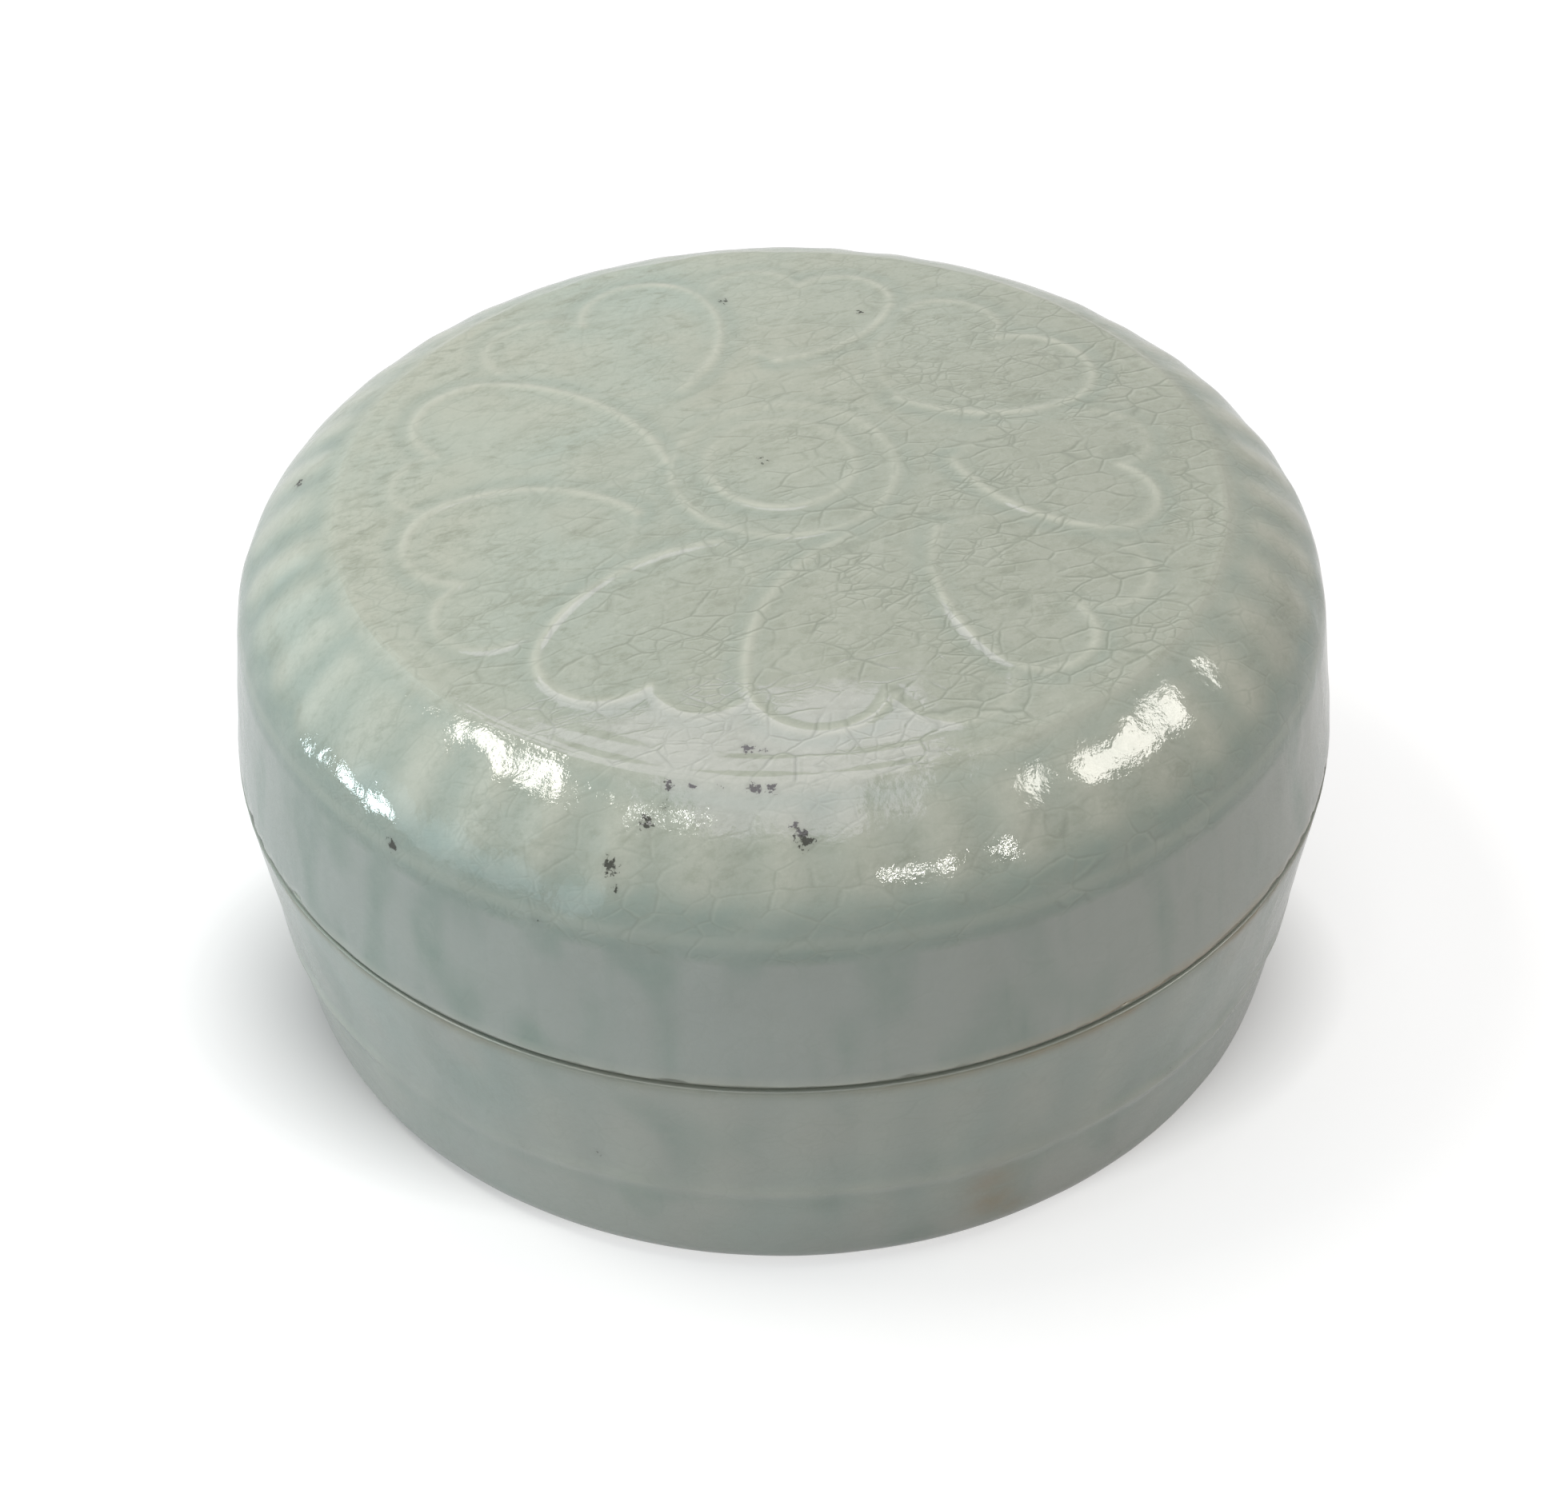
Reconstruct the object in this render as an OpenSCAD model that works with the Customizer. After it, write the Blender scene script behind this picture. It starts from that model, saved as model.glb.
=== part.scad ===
// Round seal paste box of glazed porcelain: a base that holds the red seal paste
// and a domed lid with a moulded flower, which lifts straight off.
// Millimetres, +Z up. The origin is the middle of the face that the box stands on.

/* [Outside of the base] */
// Diameter of the closed box at the seam, where it is widest
seam_w = 75; // [70:0.5:90]
// Height of the base's outside wall, up to the seam
base_h = 19.7; // [16:0.1:30]
// How far the base has drawn in from the seam at its raised line
ridge_in = 1.25; // [0.5:0.05:3]
// Height of the raised line above the table
ridge_z = 9.1; // [6:0.1:12]
// Width of the raised line
ridge_band = 1.6; // [0.8:0.1:2.4]
// Height of the raised line over the wall
ridge_h = 0.2; // [0.1:0.05:0.4]
// How far the base has drawn in from the seam where it turns in to the foot
foot_in = 2.2; // [1:0.1:5]
// Radius of the turn from the wall to the foot
foot_round = 2.6; // [1:0.1:4]
// Width of the flat ring that the box stands on
foot_band = 4; // [2:0.5:8]
// Depth of the hollow under the base
foot_hollow = 0.8; // [0.4:0.1:1.5]

/* [Inside of the base] */
// Thickness of the base's floor over the hollow
floor_t = 3.4; // [2:0.2:5]
// Height of the flange that rises inside the lid, over the seam
flange_h = 5; // [3:0.5:8]
// Thickness of the flange
flange_t = 2.4; // [1.5:0.1:3.5]
// Radius of the turn from the well's wall to its floor
well_round = 5; // [2:0.5:8]

/* [Lid] */
// Gap between the lid's rim and the base, which shows as the dark seam
seam_gap = 0.3; // [0.2:0.05:0.6]
// Gap between the flange and the lid all round
fit_gap = 0.4; // [0.2:0.05:0.8]
// Thickness of the lid's rim
rim_t = 3.6; // [2.5:0.1:5]
// Height of the lid's upright wall
lid_wall_h = 11.1; // [8:0.1:20]
// How far the lid has drawn in from the seam at the top of its wall
ledge_in = 1.5; // [0.5:0.1:2.2]
// Width of the fluted shoulder, from the ledge in to the field
shoulder_w = 7.1; // [5:0.1:9]
// Height of the fluted shoulder
shoulder_h = 5.9; // [4:0.1:9]
// How far the shoulder swells out from a straight bevel
shoulder_bulge = 0.95; // [0.5:0.05:1.5]
// Rise of the domed field
dome_h = 1.4; // [0.5:0.1:3]
// Thickness of the lid's top
top_t = 3.2; // [2.2:0.1:5]

/* [Flutes] */
// Number of flutes round the shoulder
flute_count = 44; // [24:1:48]
// Radius of each flute's hollow
flute_r = 5; // [3:0.5:5.5]
// Depth of each flute at its middle
flute_depth = 0.5; // [0.2:0.05:0.6]

/* [Flower] */
// Bare band between the petals' tips and the edge of the field
flower_in = 2.4; // [1.5:0.1:6]
// Radius of the outer ring at the flower's heart
heart_r = 7.3; // [5:0.1:8]
// Radius of the inner ring at the flower's heart
eye_r = 4.8; // [3:0.1:6]
// Width of the raised lines
line_w = 0.8; // [0.5:0.1:1.2]
// Height of the raised lines over the lid
line_h = 0.3; // [0.2:0.05:0.5]
// Width of the raised border round the field
border_w = 1; // [0.6:0.1:1.6]

/* [Seal paste] */
// Height of the paste at its edge
paste_h = 9; // [5:0.5:11]
// Rise of the paste's rounded top
paste_crown = 2; // [1:0.5:3.5]
// Clearance between the paste and the well's wall
paste_gap = 0.4; // [0.3:0.1:1]

/* [Hidden] */
$fn = 96;

// Petals, counter-clockwise from the far side, in degrees and in shares of flower_r:
// [apex angle, apex reach, big lobe's angle, reach and radius, small lobe's angle, reach and radius]
petals = [
    [90, 0.49, 78, 0.82, 0.135, 94, 0.845, 0.125],
    [124, 0.44, 115, 0.82, 0.17, 136, 0.85, 0.15],
    [172, 0.28, 161, 0.79, 0.175, 180, 0.83, 0.125],
    [206, 0.38, 198, 0.775, 0.165, 217, 0.85, 0.13],
    [245, 0.32, 239, 0.79, 0.155, 257, 0.78, 0.125],
    [301, 0.32, 276, 0.785, 0.165, 296, 0.86, 0.145],
    [327, 0.45, 314, 0.845, 0.135, 332, 0.835, 0.135],
    [4, 0.43, 353, 0.79, 0.135, 10, 0.815, 0.12],
    [45, 0.43, 35, 0.785, 0.17, 56, 0.805, 0.135]
];
// Turn of a petal's side towards its tip, where the side runs into the lobe
petal_lean = 14;
// Steps in the side and in the lobe of a petal
side_steps = 3;
lobe_steps = 8;
// Steps in the profile of the shoulder, the dome and a turn between a wall and a floor
shoulder_steps = 6;
dome_steps = 4;
turn_steps = 6;

glaze_colour = [0.69, 0.73, 0.68];
base_colour = [0.62, 0.66, 0.63];
paste_colour = [0.72, 0.11, 0.07];

seam_r = seam_w / 2;
ledge_r = seam_r - ledge_in;
field_r = ledge_r - shoulder_w;
flower_r = field_r - flower_in;
ridge_r = seam_r - ridge_in;
foot_r = seam_r - foot_in;

floor_z = foot_hollow + floor_t;
flange_z = base_h + flange_h;
rim_z = base_h + seam_gap;
ledge_z = rim_z + lid_wall_h;
field_z = ledge_z + shoulder_h;
top_z = field_z + dome_h;

mouth_r = seam_r - rim_t;
flange_r = mouth_r - fit_gap;
well_r = flange_r - flange_t;
paste_r = well_r - paste_gap;
foot_outer_r = foot_r - foot_round;
foot_inner_r = foot_outer_r - foot_band;
// Centre of the turn from the well's wall to its floor
well_turn = [well_r - well_round, floor_z + well_round];

// Point at a distance and an angle from the middle
function polar(angle, reach) = reach * [cos(angle), sin(angle)];

// Angle of a vector
function heading(v) = atan2(v.y, v.x);

// The same angle as a, written so that it comes after start
function after(start, a) = a + 360 * ceil((start - a) / 360);

// Points of an arc about centre c, from angle a0 to a1
function arc(c, r, a0, a1, steps) =
    [for (i = [0 : steps]) c + polar(a0 + (a1 - a0) * i / steps, r)];

// Points from p to q along an arc that swells by bulge to the right of the way
function bulge_arc(p, q, bulge, steps) =
    let (
        chord = norm(q - p),
        r = (chord * chord / 4 + bulge * bulge) / (2 * bulge),
        out = [q.y - p.y, p.x - q.x] / chord,
        c = (p + q) / 2 - out * (r - bulge),
        a0 = heading(p - c)
    )
    arc(c, r, a0, after(a0, heading(q - c)), steps);

// Points from the edge to the middle of a round crown that rises over its edge
function crown(edge, rise, steps) =
    let (r = (edge.x * edge.x + rise * rise) / (2 * rise))
    arc([0, edge.y + rise - r], r, acos(edge.x / r), 90, steps);

// A list without its first entry
function tail(list) = [for (i = [1 : len(list) - 1]) list[i]];

// A list in the opposite order
function flip(list) = [for (i = [len(list) - 1 : -1 : 0]) list[i]];

// Half outline of the lid's outside, from the rim to the middle of the dome
lid_outside = concat(
    [[0, rim_z], [seam_r, rim_z]],
    bulge_arc([ledge_r, ledge_z], [field_r, field_z], shoulder_bulge, shoulder_steps),
    tail(crown([field_r, field_z], dome_h, dome_steps))
);

// The lid without its hollow, raised by lift over the whole top
module lid_form(lift = 0) {
    rotate_extrude() polygon([for (p = lid_outside) p.y > rim_z ? p + [0, lift] : p]);
}

// Hollow of the lid, open below
module lid_hollow() {
    ceiling = [field_r - top_t / 2, field_z - top_t];
    below_rim = rim_z - 1;
    rotate_extrude()
        polygon(concat(
            [[0, below_rim], [mouth_r, below_rim]],
            bulge_arc([mouth_r, ledge_z - top_t], ceiling, shoulder_bulge, shoulder_steps),
            tail(crown(ceiling, dome_h, dome_steps))
        ));
}

// Hollows of the fluted shoulder
module flutes() {
    run = [field_r - ledge_r, shoulder_h];
    out = [run.y, -run.x] / norm(run);
    middle = [ledge_r, ledge_z] + run / 2 + out * (shoulder_bulge + flute_r - flute_depth);
    for (i = [0 : flute_count - 1])
        rotate([0, 0, (i + 0.5) * 360 / flute_count])
            translate([middle.x, 0, middle.y])
                rotate([0, atan2(run.x, run.y), 0])
                    cylinder(h = 2 * norm(run), r = flute_r, center = true);
}

// Big circle on which a petal's side runs from the apex into the lobe (c, r) at angle u
function side_circle(apex, c, r, u) =
    let (
        d = apex - c,
        along = d * polar(u, 1),
        big = (d * d - 2 * r * along + r * r) / (2 * (r - along))
    )
    [c + polar(u, r - big), big];

// Steps along an arc as pairs of a point and the way out of the petal there
function arc_steps(c, r, a0, a1, steps) =
    [for (i = [0 : steps]) let (a = a0 + (a1 - a0) * i / steps) [c + polar(a, r), polar(a, 1)]];

function apex_of(p) = polar(p[0], p[1] * flower_r);
function big_lobe(p) = [polar(p[2], p[3] * flower_r), p[4] * flower_r];
function small_lobe(p) = [polar(p[5], p[6] * flower_r), p[7] * flower_r];

// Angle between the line of centres and the crossing of circle a with circle b, seen from a
function crossing(a, b) =
    let (d = norm(b[0] - a[0]))
    acos((d * d + a[1] * a[1] - b[1] * b[1]) / (2 * d * a[1]));

// First half of a petal's outline: its side and its big lobe, up to the notch
function big_half(p) =
    let (
        apex = apex_of(p),
        lobe = big_lobe(p),
        u = heading(lobe[0] - apex) - 90 + petal_lean,
        side = side_circle(apex, lobe[0], lobe[1], u),
        a0 = heading(apex - side[0]),
        notch = heading(small_lobe(p)[0] - lobe[0]) - crossing(lobe, small_lobe(p))
    )
    concat(
        arc_steps(side[0], side[1], a0, after(a0, u), side_steps),
        tail(arc_steps(lobe[0], lobe[1], u, after(u, notch), lobe_steps))
    );

// Second half of a petal's outline: its small lobe from the notch, and the side back
function small_half(p) =
    let (
        apex = apex_of(p),
        lobe = small_lobe(p),
        notch = heading(big_lobe(p)[0] - lobe[0]) + crossing(lobe, big_lobe(p)),
        u = after(notch, heading(lobe[0] - apex) + 90 - petal_lean),
        side = side_circle(apex, lobe[0], lobe[1], u)
    )
    concat(
        arc_steps(lobe[0], lobe[1], notch, u, lobe_steps),
        tail(arc_steps(side[0], side[1], u, after(u, heading(apex - side[0])), side_steps))
    );

// Flat line of width line_w along the steps of an outline
module line_along(steps) {
    polygon(concat(
        [for (s = steps) s[0] + s[1] * line_w / 2],
        [for (s = flip(steps)) s[0] - s[1] * line_w / 2]
    ));
}

// Outline of one petal, which passes under the next petal
module petal_lines(i) {
    next = petals[(i + 1) % len(petals)];
    difference() {
        union() {
            line_along(big_half(petals[i]));
            line_along(small_half(petals[i]));
        }
        polygon([for (s = concat(big_half(next), tail(small_half(next)))) s[0]]);
    }
}

// Flat ring of radius r, with its line inside that radius
module flat_ring(r, width) {
    difference() {
        circle(r = r);
        circle(r = r - width);
    }
}

// Raised lines of the flower and its border, as deep blocks before they meet the dome
module flower_blocks() {
    for (i = [0 : len(petals) - 1]) petal_lines(i);
    flat_ring(heart_r, line_w);
    flat_ring(eye_r, line_w);
    flat_ring(field_r, border_w);
}

module box_lid() {
    color(glaze_colour)
        difference() {
            union() {
                difference() {
                    lid_form();
                    flutes();
                }
                intersection() {
                    translate([0, 0, field_z - top_t / 2])
                        linear_extrude(height = top_t + dome_h)
                            flower_blocks();
                    lid_form(line_h);
                }
            }
            lid_hollow();
        }
}

module box_base() {
    color(base_colour)
        rotate_extrude()
            polygon(concat(
                [[0, foot_hollow], [foot_inner_r - foot_hollow, foot_hollow], [foot_inner_r, 0]],
                arc([foot_outer_r, foot_round], foot_round, -90, 0, turn_steps),
                [
                    [ridge_r - ridge_h, ridge_z - ridge_band / 2],
                    [ridge_r + ridge_h / 2, ridge_z],
                    [ridge_r, ridge_z + ridge_band / 2],
                    [seam_r, base_h],
                    [flange_r, base_h],
                    [flange_r, flange_z],
                    [well_r, flange_z]
                ],
                arc(well_turn, well_round, 0, -90, turn_steps),
                [[0, floor_z]]
            ));
}

module seal_paste() {
    color(paste_colour)
        rotate_extrude()
            polygon(concat(
                [[0, floor_z], [well_turn.x, floor_z]],
                arc(well_turn, well_round - paste_gap, -90, 0, turn_steps),
                crown([paste_r, floor_z + paste_h], paste_crown, 2 * dome_steps)
            ));
}

box_base();
box_lid();
seal_paste();
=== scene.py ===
"""Looks of a round seal paste box: a glazed porcelain base and lid, with red paste in the well.

Lengths in the classes are millimetres and angles are degrees. Meshes are made in metres in the
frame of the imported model: +Z up, the box centred on the Z axis and standing on Z = 0. Angles
round the box are counter-clockwise from +X, seen from above, and the camera stands at -90.
"""
import logging
import math
from dataclasses import dataclass, field
from enum import Enum
from typing import ClassVar, Sequence

import bpy
import numpy as np
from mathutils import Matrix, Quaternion, Vector


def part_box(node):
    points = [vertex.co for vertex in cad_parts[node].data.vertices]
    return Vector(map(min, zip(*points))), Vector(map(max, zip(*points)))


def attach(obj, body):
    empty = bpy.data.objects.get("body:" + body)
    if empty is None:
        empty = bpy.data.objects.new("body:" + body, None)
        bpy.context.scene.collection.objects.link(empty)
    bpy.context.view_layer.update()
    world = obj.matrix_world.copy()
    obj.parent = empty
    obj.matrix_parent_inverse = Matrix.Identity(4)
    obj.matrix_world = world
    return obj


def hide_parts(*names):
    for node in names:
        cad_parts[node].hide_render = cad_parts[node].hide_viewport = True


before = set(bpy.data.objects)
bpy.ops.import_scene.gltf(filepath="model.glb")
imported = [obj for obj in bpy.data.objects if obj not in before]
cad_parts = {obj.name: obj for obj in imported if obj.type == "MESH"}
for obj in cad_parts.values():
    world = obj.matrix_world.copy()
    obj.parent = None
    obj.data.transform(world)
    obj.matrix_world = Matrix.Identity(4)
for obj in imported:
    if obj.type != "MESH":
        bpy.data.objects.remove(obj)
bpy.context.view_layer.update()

MM = 0.001
LOG = logging.getLogger("seal_paste_box")

Colour = tuple[float, float, float]
Point = tuple[float, float]
Triple = tuple[float, float, float]
Socket = bpy.types.NodeSocket


class Body(Enum):
    """The two bodies of the box."""

    BASE = "base"
    LID = "lid"


class Slot(Enum):
    """The record's material slots."""

    BASE_GLAZE = "base_glaze"
    LID_GLAZE = "lid_glaze"
    PASTE = "seal_paste"


class Fact(Enum):
    """What the surface is like at a point, and where shade is painted, each as a share from 0 to 1."""

    POOL = "pool"
    THIN = "thin"
    BARE = "bare"
    RUST = "rust"
    IRON = "iron"
    CRAZE = "craze"
    UNEVEN = "uneven"
    # Painted shade in the seam between lid and base, which also dulls the gloss
    SEAM_SHADE = "seam_shade"
    WISP = "wisp"
    # Painted shade: a darker, cooler colour on the wall and lower shoulder, which face sideways
    SIDE_SHADE = "side_shade"
    # Painted shade: a darker olive on the side away from the light, towards the front right
    OLIVE_SHADE = "tone"
    SMEAR = "smear"


class Part(Enum):
    """The stretches of a half outline, from the middle of the top to the middle below."""

    FIELD = "field"
    SHOULDER = "shoulder"
    WALL = "wall"
    RIM = "rim"
    HOLLOW = "hollow"
    WELL = "well"
    FLANGE = "flange"
    SEAT = "seat"
    FOOT = "foot"
    UNDER = "under"
    CROWN = "crown"
    HIDDEN = "hidden"


def srgb(red: int, green: int, blue: int) -> Colour:
    """Linear colour of three display values from 0 to 255."""
    shares = [value / 255 for value in (red, green, blue)]
    linear = [s / 12.92 if s <= 0.04045 else ((s + 0.055) / 1.055) ** 2.4 for s in shares]
    return linear[0], linear[1], linear[2]


def polar(angle: float, reach: float) -> np.ndarray:
    """Point at an angle and a distance from the middle."""
    turn = math.radians(angle)
    return reach * np.array([math.cos(turn), math.sin(turn)])


def heading(way: np.ndarray) -> float:
    """Angle of a vector."""
    return math.degrees(math.atan2(way[1], way[0]))


def after(start: float, angle: float) -> float:
    """The same angle, written so that it comes after start."""
    return angle + 360 * math.ceil((start - angle) / 360)


def ease(values: np.ndarray, low: float, high: float) -> np.ndarray:
    """Smooth step from 0 at low to 1 at high, which may be the lower of the two."""
    share = np.clip((values - low) / (high - low), 0, 1)
    return share * share * (3 - 2 * share)


def hump(values: np.ndarray, middle: float | np.ndarray, width: float) -> np.ndarray:
    """Smooth hump: 1 at the middle, and almost 0 from twice the width on."""
    return np.exp(-(((values - middle) / width) ** 2))


def lumps(points: np.ndarray, size: float, seed: int, waves: int = 24) -> np.ndarray:
    """Smooth unevenness made of seeded waves that cross each other.

    Args:
        points: Places, one row of three millimetres each.
        size: Distance from one lump to the next.
        seed: Seed of the waves.
        waves: Number of waves.

    Returns:
        One value for each point, mostly between -1 and 1.
    """
    random = np.random.default_rng(seed)
    ways = random.normal(size=(waves, 3))
    ways /= np.linalg.norm(ways, axis=1)[:, None]
    ways *= 2 * math.pi / size * random.uniform(0.7, 1.5, waves)[:, None]
    phases = random.uniform(0, 2 * math.pi, waves)
    total = np.zeros(len(points))
    for way, phase in zip(ways, phases):
        total += np.sin(points @ way + phase)
    return total * math.sqrt(1 / waves)


def squashed(points: np.ndarray, share: float) -> np.ndarray:
    """The places with their heights cut to a share, so that lumps on them stand taller."""
    return points * np.array([1, 1, share])


@dataclass(frozen=True)
class Arc:
    """Part of a circle, run counter-clockwise, with the strength of the line along it."""

    centre: np.ndarray
    radius: float
    start: float = 0
    end: float = 360
    strength: float = 1

    def points(self, steps: int) -> np.ndarray:
        """Points along the arc, ends included."""
        angles = np.linspace(self.start, self.end, steps + 1)
        return np.array([self.centre + polar(angle, self.radius) for angle in angles])

    def distance(self, x: np.ndarray, y: np.ndarray) -> np.ndarray:
        """Distance of each place from the arc.

        Args:
            x: Places along X.
            y: Places along Y.

        Returns:
            The distances.
        """
        from_x, from_y = x - self.centre[0], y - self.centre[1]
        turn = np.mod(np.degrees(np.arctan2(from_y, from_x)) - self.start, 360)
        nearest_end = np.full(len(x), np.inf)
        for end in self.points(1):
            nearest_end = np.minimum(nearest_end, np.hypot(x - end[0], y - end[1]))
        across = np.abs(np.hypot(from_x, from_y) - self.radius)
        return np.where(turn <= self.end - self.start, across, nearest_end)


@dataclass(frozen=True)
class Lobe:
    """One of the two round lobes of a petal."""

    centre: np.ndarray
    radius: float

    def crossing(self, other: "Lobe") -> float:
        """Angle at this centre between the line to the other centre and where the circles cross.

        Args:
            other: The lobe that this one crosses.

        Returns:
            The angle.
        """
        apart = np.linalg.norm(other.centre - self.centre)
        share = (apart**2 + self.radius**2 - other.radius**2) / (2 * apart * self.radius)
        return math.degrees(math.acos(share))

    def side_from(self, apex: np.ndarray, turn: float) -> tuple[np.ndarray, float]:
        """The circle that runs from a petal's apex into this lobe.

        Args:
            apex: The petal's apex.
            turn: Angle on the lobe at which the circle meets it.

        Returns:
            The circle's centre and radius.
        """
        way = apex - self.centre
        along = way @ polar(turn, 1)
        radius = (way @ way - 2 * self.radius * along + self.radius**2) / (2 * (self.radius - along))
        return self.centre + polar(turn, self.radius - radius), radius


@dataclass(frozen=True)
class Petal:
    """A moulded petal with a big and a small lobe, in degrees and in shares of the flower's radius."""

    apex_angle: float
    apex_reach: float
    big_angle: float
    big_reach: float
    big_size: float
    small_angle: float
    small_reach: float
    small_size: float

    # Turn of a side towards the tip, where the side runs into the lobe
    LEAN: ClassVar[float] = 14
    # Strength of the line along the big lobe and side, round the small lobe and along the small side
    BIG_LINE: ClassVar[float] = 1.0
    SMALL_LINE: ClassVar[float] = 0.6
    FAINT_LINE: ClassVar[float] = 0.3

    def arcs(self, flower_r: float) -> list[Arc]:
        """The petal's outline.

        Args:
            flower_r: Radius of the flower.

        Returns:
            Big side, big lobe, small lobe and small side, counter-clockwise.
        """
        apex = polar(self.apex_angle, self.apex_reach * flower_r)
        big = Lobe(polar(self.big_angle, self.big_reach * flower_r), self.big_size * flower_r)
        small = Lobe(polar(self.small_angle, self.small_reach * flower_r), self.small_size * flower_r)

        into_big = heading(big.centre - apex) - 90 + self.LEAN
        centre, radius = big.side_from(apex, into_big)
        start = heading(apex - centre)
        big_side = Arc(centre, radius, start, after(start, into_big), self.BIG_LINE)
        notch = heading(small.centre - big.centre) - big.crossing(small)
        big_round = Arc(big.centre, big.radius, into_big, after(into_big, notch), self.BIG_LINE)

        notch = heading(big.centre - small.centre) + small.crossing(big)
        out_of_small = after(notch, heading(small.centre - apex) + 90 - self.LEAN)
        small_round = Arc(small.centre, small.radius, notch, out_of_small, self.SMALL_LINE)
        centre, radius = small.side_from(apex, out_of_small)
        end = after(out_of_small, heading(apex - centre))
        small_side = Arc(centre, radius, out_of_small, end, self.FAINT_LINE)
        return [big_side, big_round, small_round, small_side]


def inside(outline: np.ndarray, x: np.ndarray, y: np.ndarray) -> np.ndarray:
    """Which places lie inside a closed outline.

    Args:
        outline: Corners of the outline, one row each.
        x: Places along X.
        y: Places along Y.

    Returns:
        Whether each place is inside.
    """
    within = np.zeros(len(x), bool)
    for (x0, y0), (x1, y1) in zip(outline, np.roll(outline, -1, axis=0)):
        if y0 == y1:
            continue
        crosses = (y0 > y) != (y1 > y)
        within ^= crosses & (x < x0 + (y - y0) * (x1 - x0) / (y1 - y0))
    return within


@dataclass(frozen=True)
class Ring:
    """A raised ring of the flower's heart, with its middle and the angle at which it is faintest."""

    radius: float
    middle: Point
    faint_at: float


@dataclass
class Flower:
    """The moulded flower: nine overlapping petals round a heart of two rings."""

    radius: float = 26.5
    line_w: float = 0.3
    pool_at: float = 0.9
    pool_out: float = 0.55
    pool_out_w: float = 0.6
    pool_in: float = 0.2
    pool_in_w: float = 0.5
    cover: Point = (0.1, 0.7)
    corners: int = 12
    ring_line: float = 0.68
    ring_fade: float = 0.32
    rings: tuple[Ring, ...] = (Ring(7.3, (0.3, 0.0), 100), Ring(4.8, (0.15, 0.5), 80))
    petals: tuple[Petal, ...] = (
        Petal(90, 0.49, 78, 0.82, 0.135, 94, 0.845, 0.125),
        Petal(124, 0.44, 115, 0.82, 0.17, 136, 0.85, 0.15),
        Petal(172, 0.28, 161, 0.79, 0.175, 180, 0.83, 0.125),
        Petal(206, 0.38, 198, 0.775, 0.165, 217, 0.85, 0.13),
        Petal(245, 0.32, 239, 0.79, 0.155, 257, 0.78, 0.125),
        Petal(301, 0.32, 276, 0.785, 0.165, 296, 0.86, 0.145),
        Petal(327, 0.45, 314, 0.845, 0.135, 332, 0.835, 0.135),
        Petal(4, 0.43, 353, 0.79, 0.135, 10, 0.815, 0.12),
        Petal(45, 0.43, 35, 0.785, 0.17, 56, 0.805, 0.135),
    )

    def line(self, distance: np.ndarray) -> np.ndarray:
        """Height of a raised line at a distance from its middle, as a share."""
        return hump(distance, 0, self.line_w)

    def pool(self, outward: np.ndarray) -> np.ndarray:
        """Glaze gathered beside a line, most on the side away from the petal or ring."""
        outer = self.pool_out * hump(outward, self.pool_at, self.pool_out_w)
        return outer + self.pool_in * hump(outward, -self.pool_at, self.pool_in_w)

    def relief(self, x: np.ndarray, y: np.ndarray) -> tuple[np.ndarray, np.ndarray]:
        """Raised lines and pooled glaze at places on the field.

        Args:
            x: Places along X.
            y: Places along Y.

        Returns:
            The height of the lines and the pooling, both as shares.
        """
        height, pool = np.zeros(len(x)), np.zeros(len(x))
        outlines = [petal.arcs(self.radius) for petal in self.petals]
        signed = []
        for arcs in outlines:
            edge = np.min([arc.distance(x, y) for arc in arcs], axis=0)
            within = inside(np.vstack([arc.points(self.corners)[:-1] for arc in arcs]), x, y)
            signed.append(np.where(within, -edge, edge))
        for index, arcs in enumerate(outlines):
            shown = ease(signed[(index + 1) % len(outlines)], *self.cover)
            for arc in arcs:
                distance = arc.distance(x, y)
                height = np.maximum(height, shown * arc.strength * self.line(distance))
                outward = np.sign(signed[index]) * distance
                pool = np.maximum(pool, shown * arc.strength * self.pool(outward))
        around = np.degrees(np.arctan2(y, x))
        for ring in self.rings:
            outward = np.hypot(x - ring.middle[0], y - ring.middle[1]) - ring.radius
            strength = self.ring_line - self.ring_fade * np.cos(np.radians(around - ring.faint_at))
            height = np.maximum(height, strength * self.line(outward))
            pool = np.maximum(pool, strength * self.pool(outward))
        return height, pool


@dataclass(frozen=True)
class Stretch:
    """A stretch of a half outline, which starts where the one before it ends.

    Attributes:
        part: What the stretch is.
        way: Points of radius and height.
        gap: Distance between rows where the way is straight.
        steps: Number of points round the box in each row.
    """

    part: Part
    way: Sequence[Point]
    gap: float
    steps: int


@dataclass(frozen=True)
class Band:
    """Rows of a crown from one radius on, up to the next band or the crown's edge.

    Attributes:
        start: Radius where the band starts.
        gap: Distance between rows.
        divide: What the piece's number of points round is divided by.
    """

    start: float
    gap: float
    divide: int


def swell(start: Point, end: Point, bulge: float, steps: int = 24) -> list[Point]:
    """Points on an arc from start to end.

    Args:
        start: Where the arc starts. This point is left out.
        end: Where it ends.
        bulge: How far it swells to the left of the straight way, or to the right below 0.
        steps: Number of points.

    Returns:
        The points.
    """
    p, q = np.array(start), np.array(end)
    chord = np.linalg.norm(q - p)
    radius = (chord**2 / 4 + bulge**2) / (2 * abs(bulge))
    left = np.array([p[1] - q[1], q[0] - p[0]]) / chord
    centre = (p + q) / 2 - left * math.copysign(radius - abs(bulge), bulge)
    first = heading(p - centre)
    turn = (heading(q - centre) - first + 180) % 360 - 180
    return [tuple(centre + polar(first + turn * i / steps, radius)) for i in range(1, steps + 1)]


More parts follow.
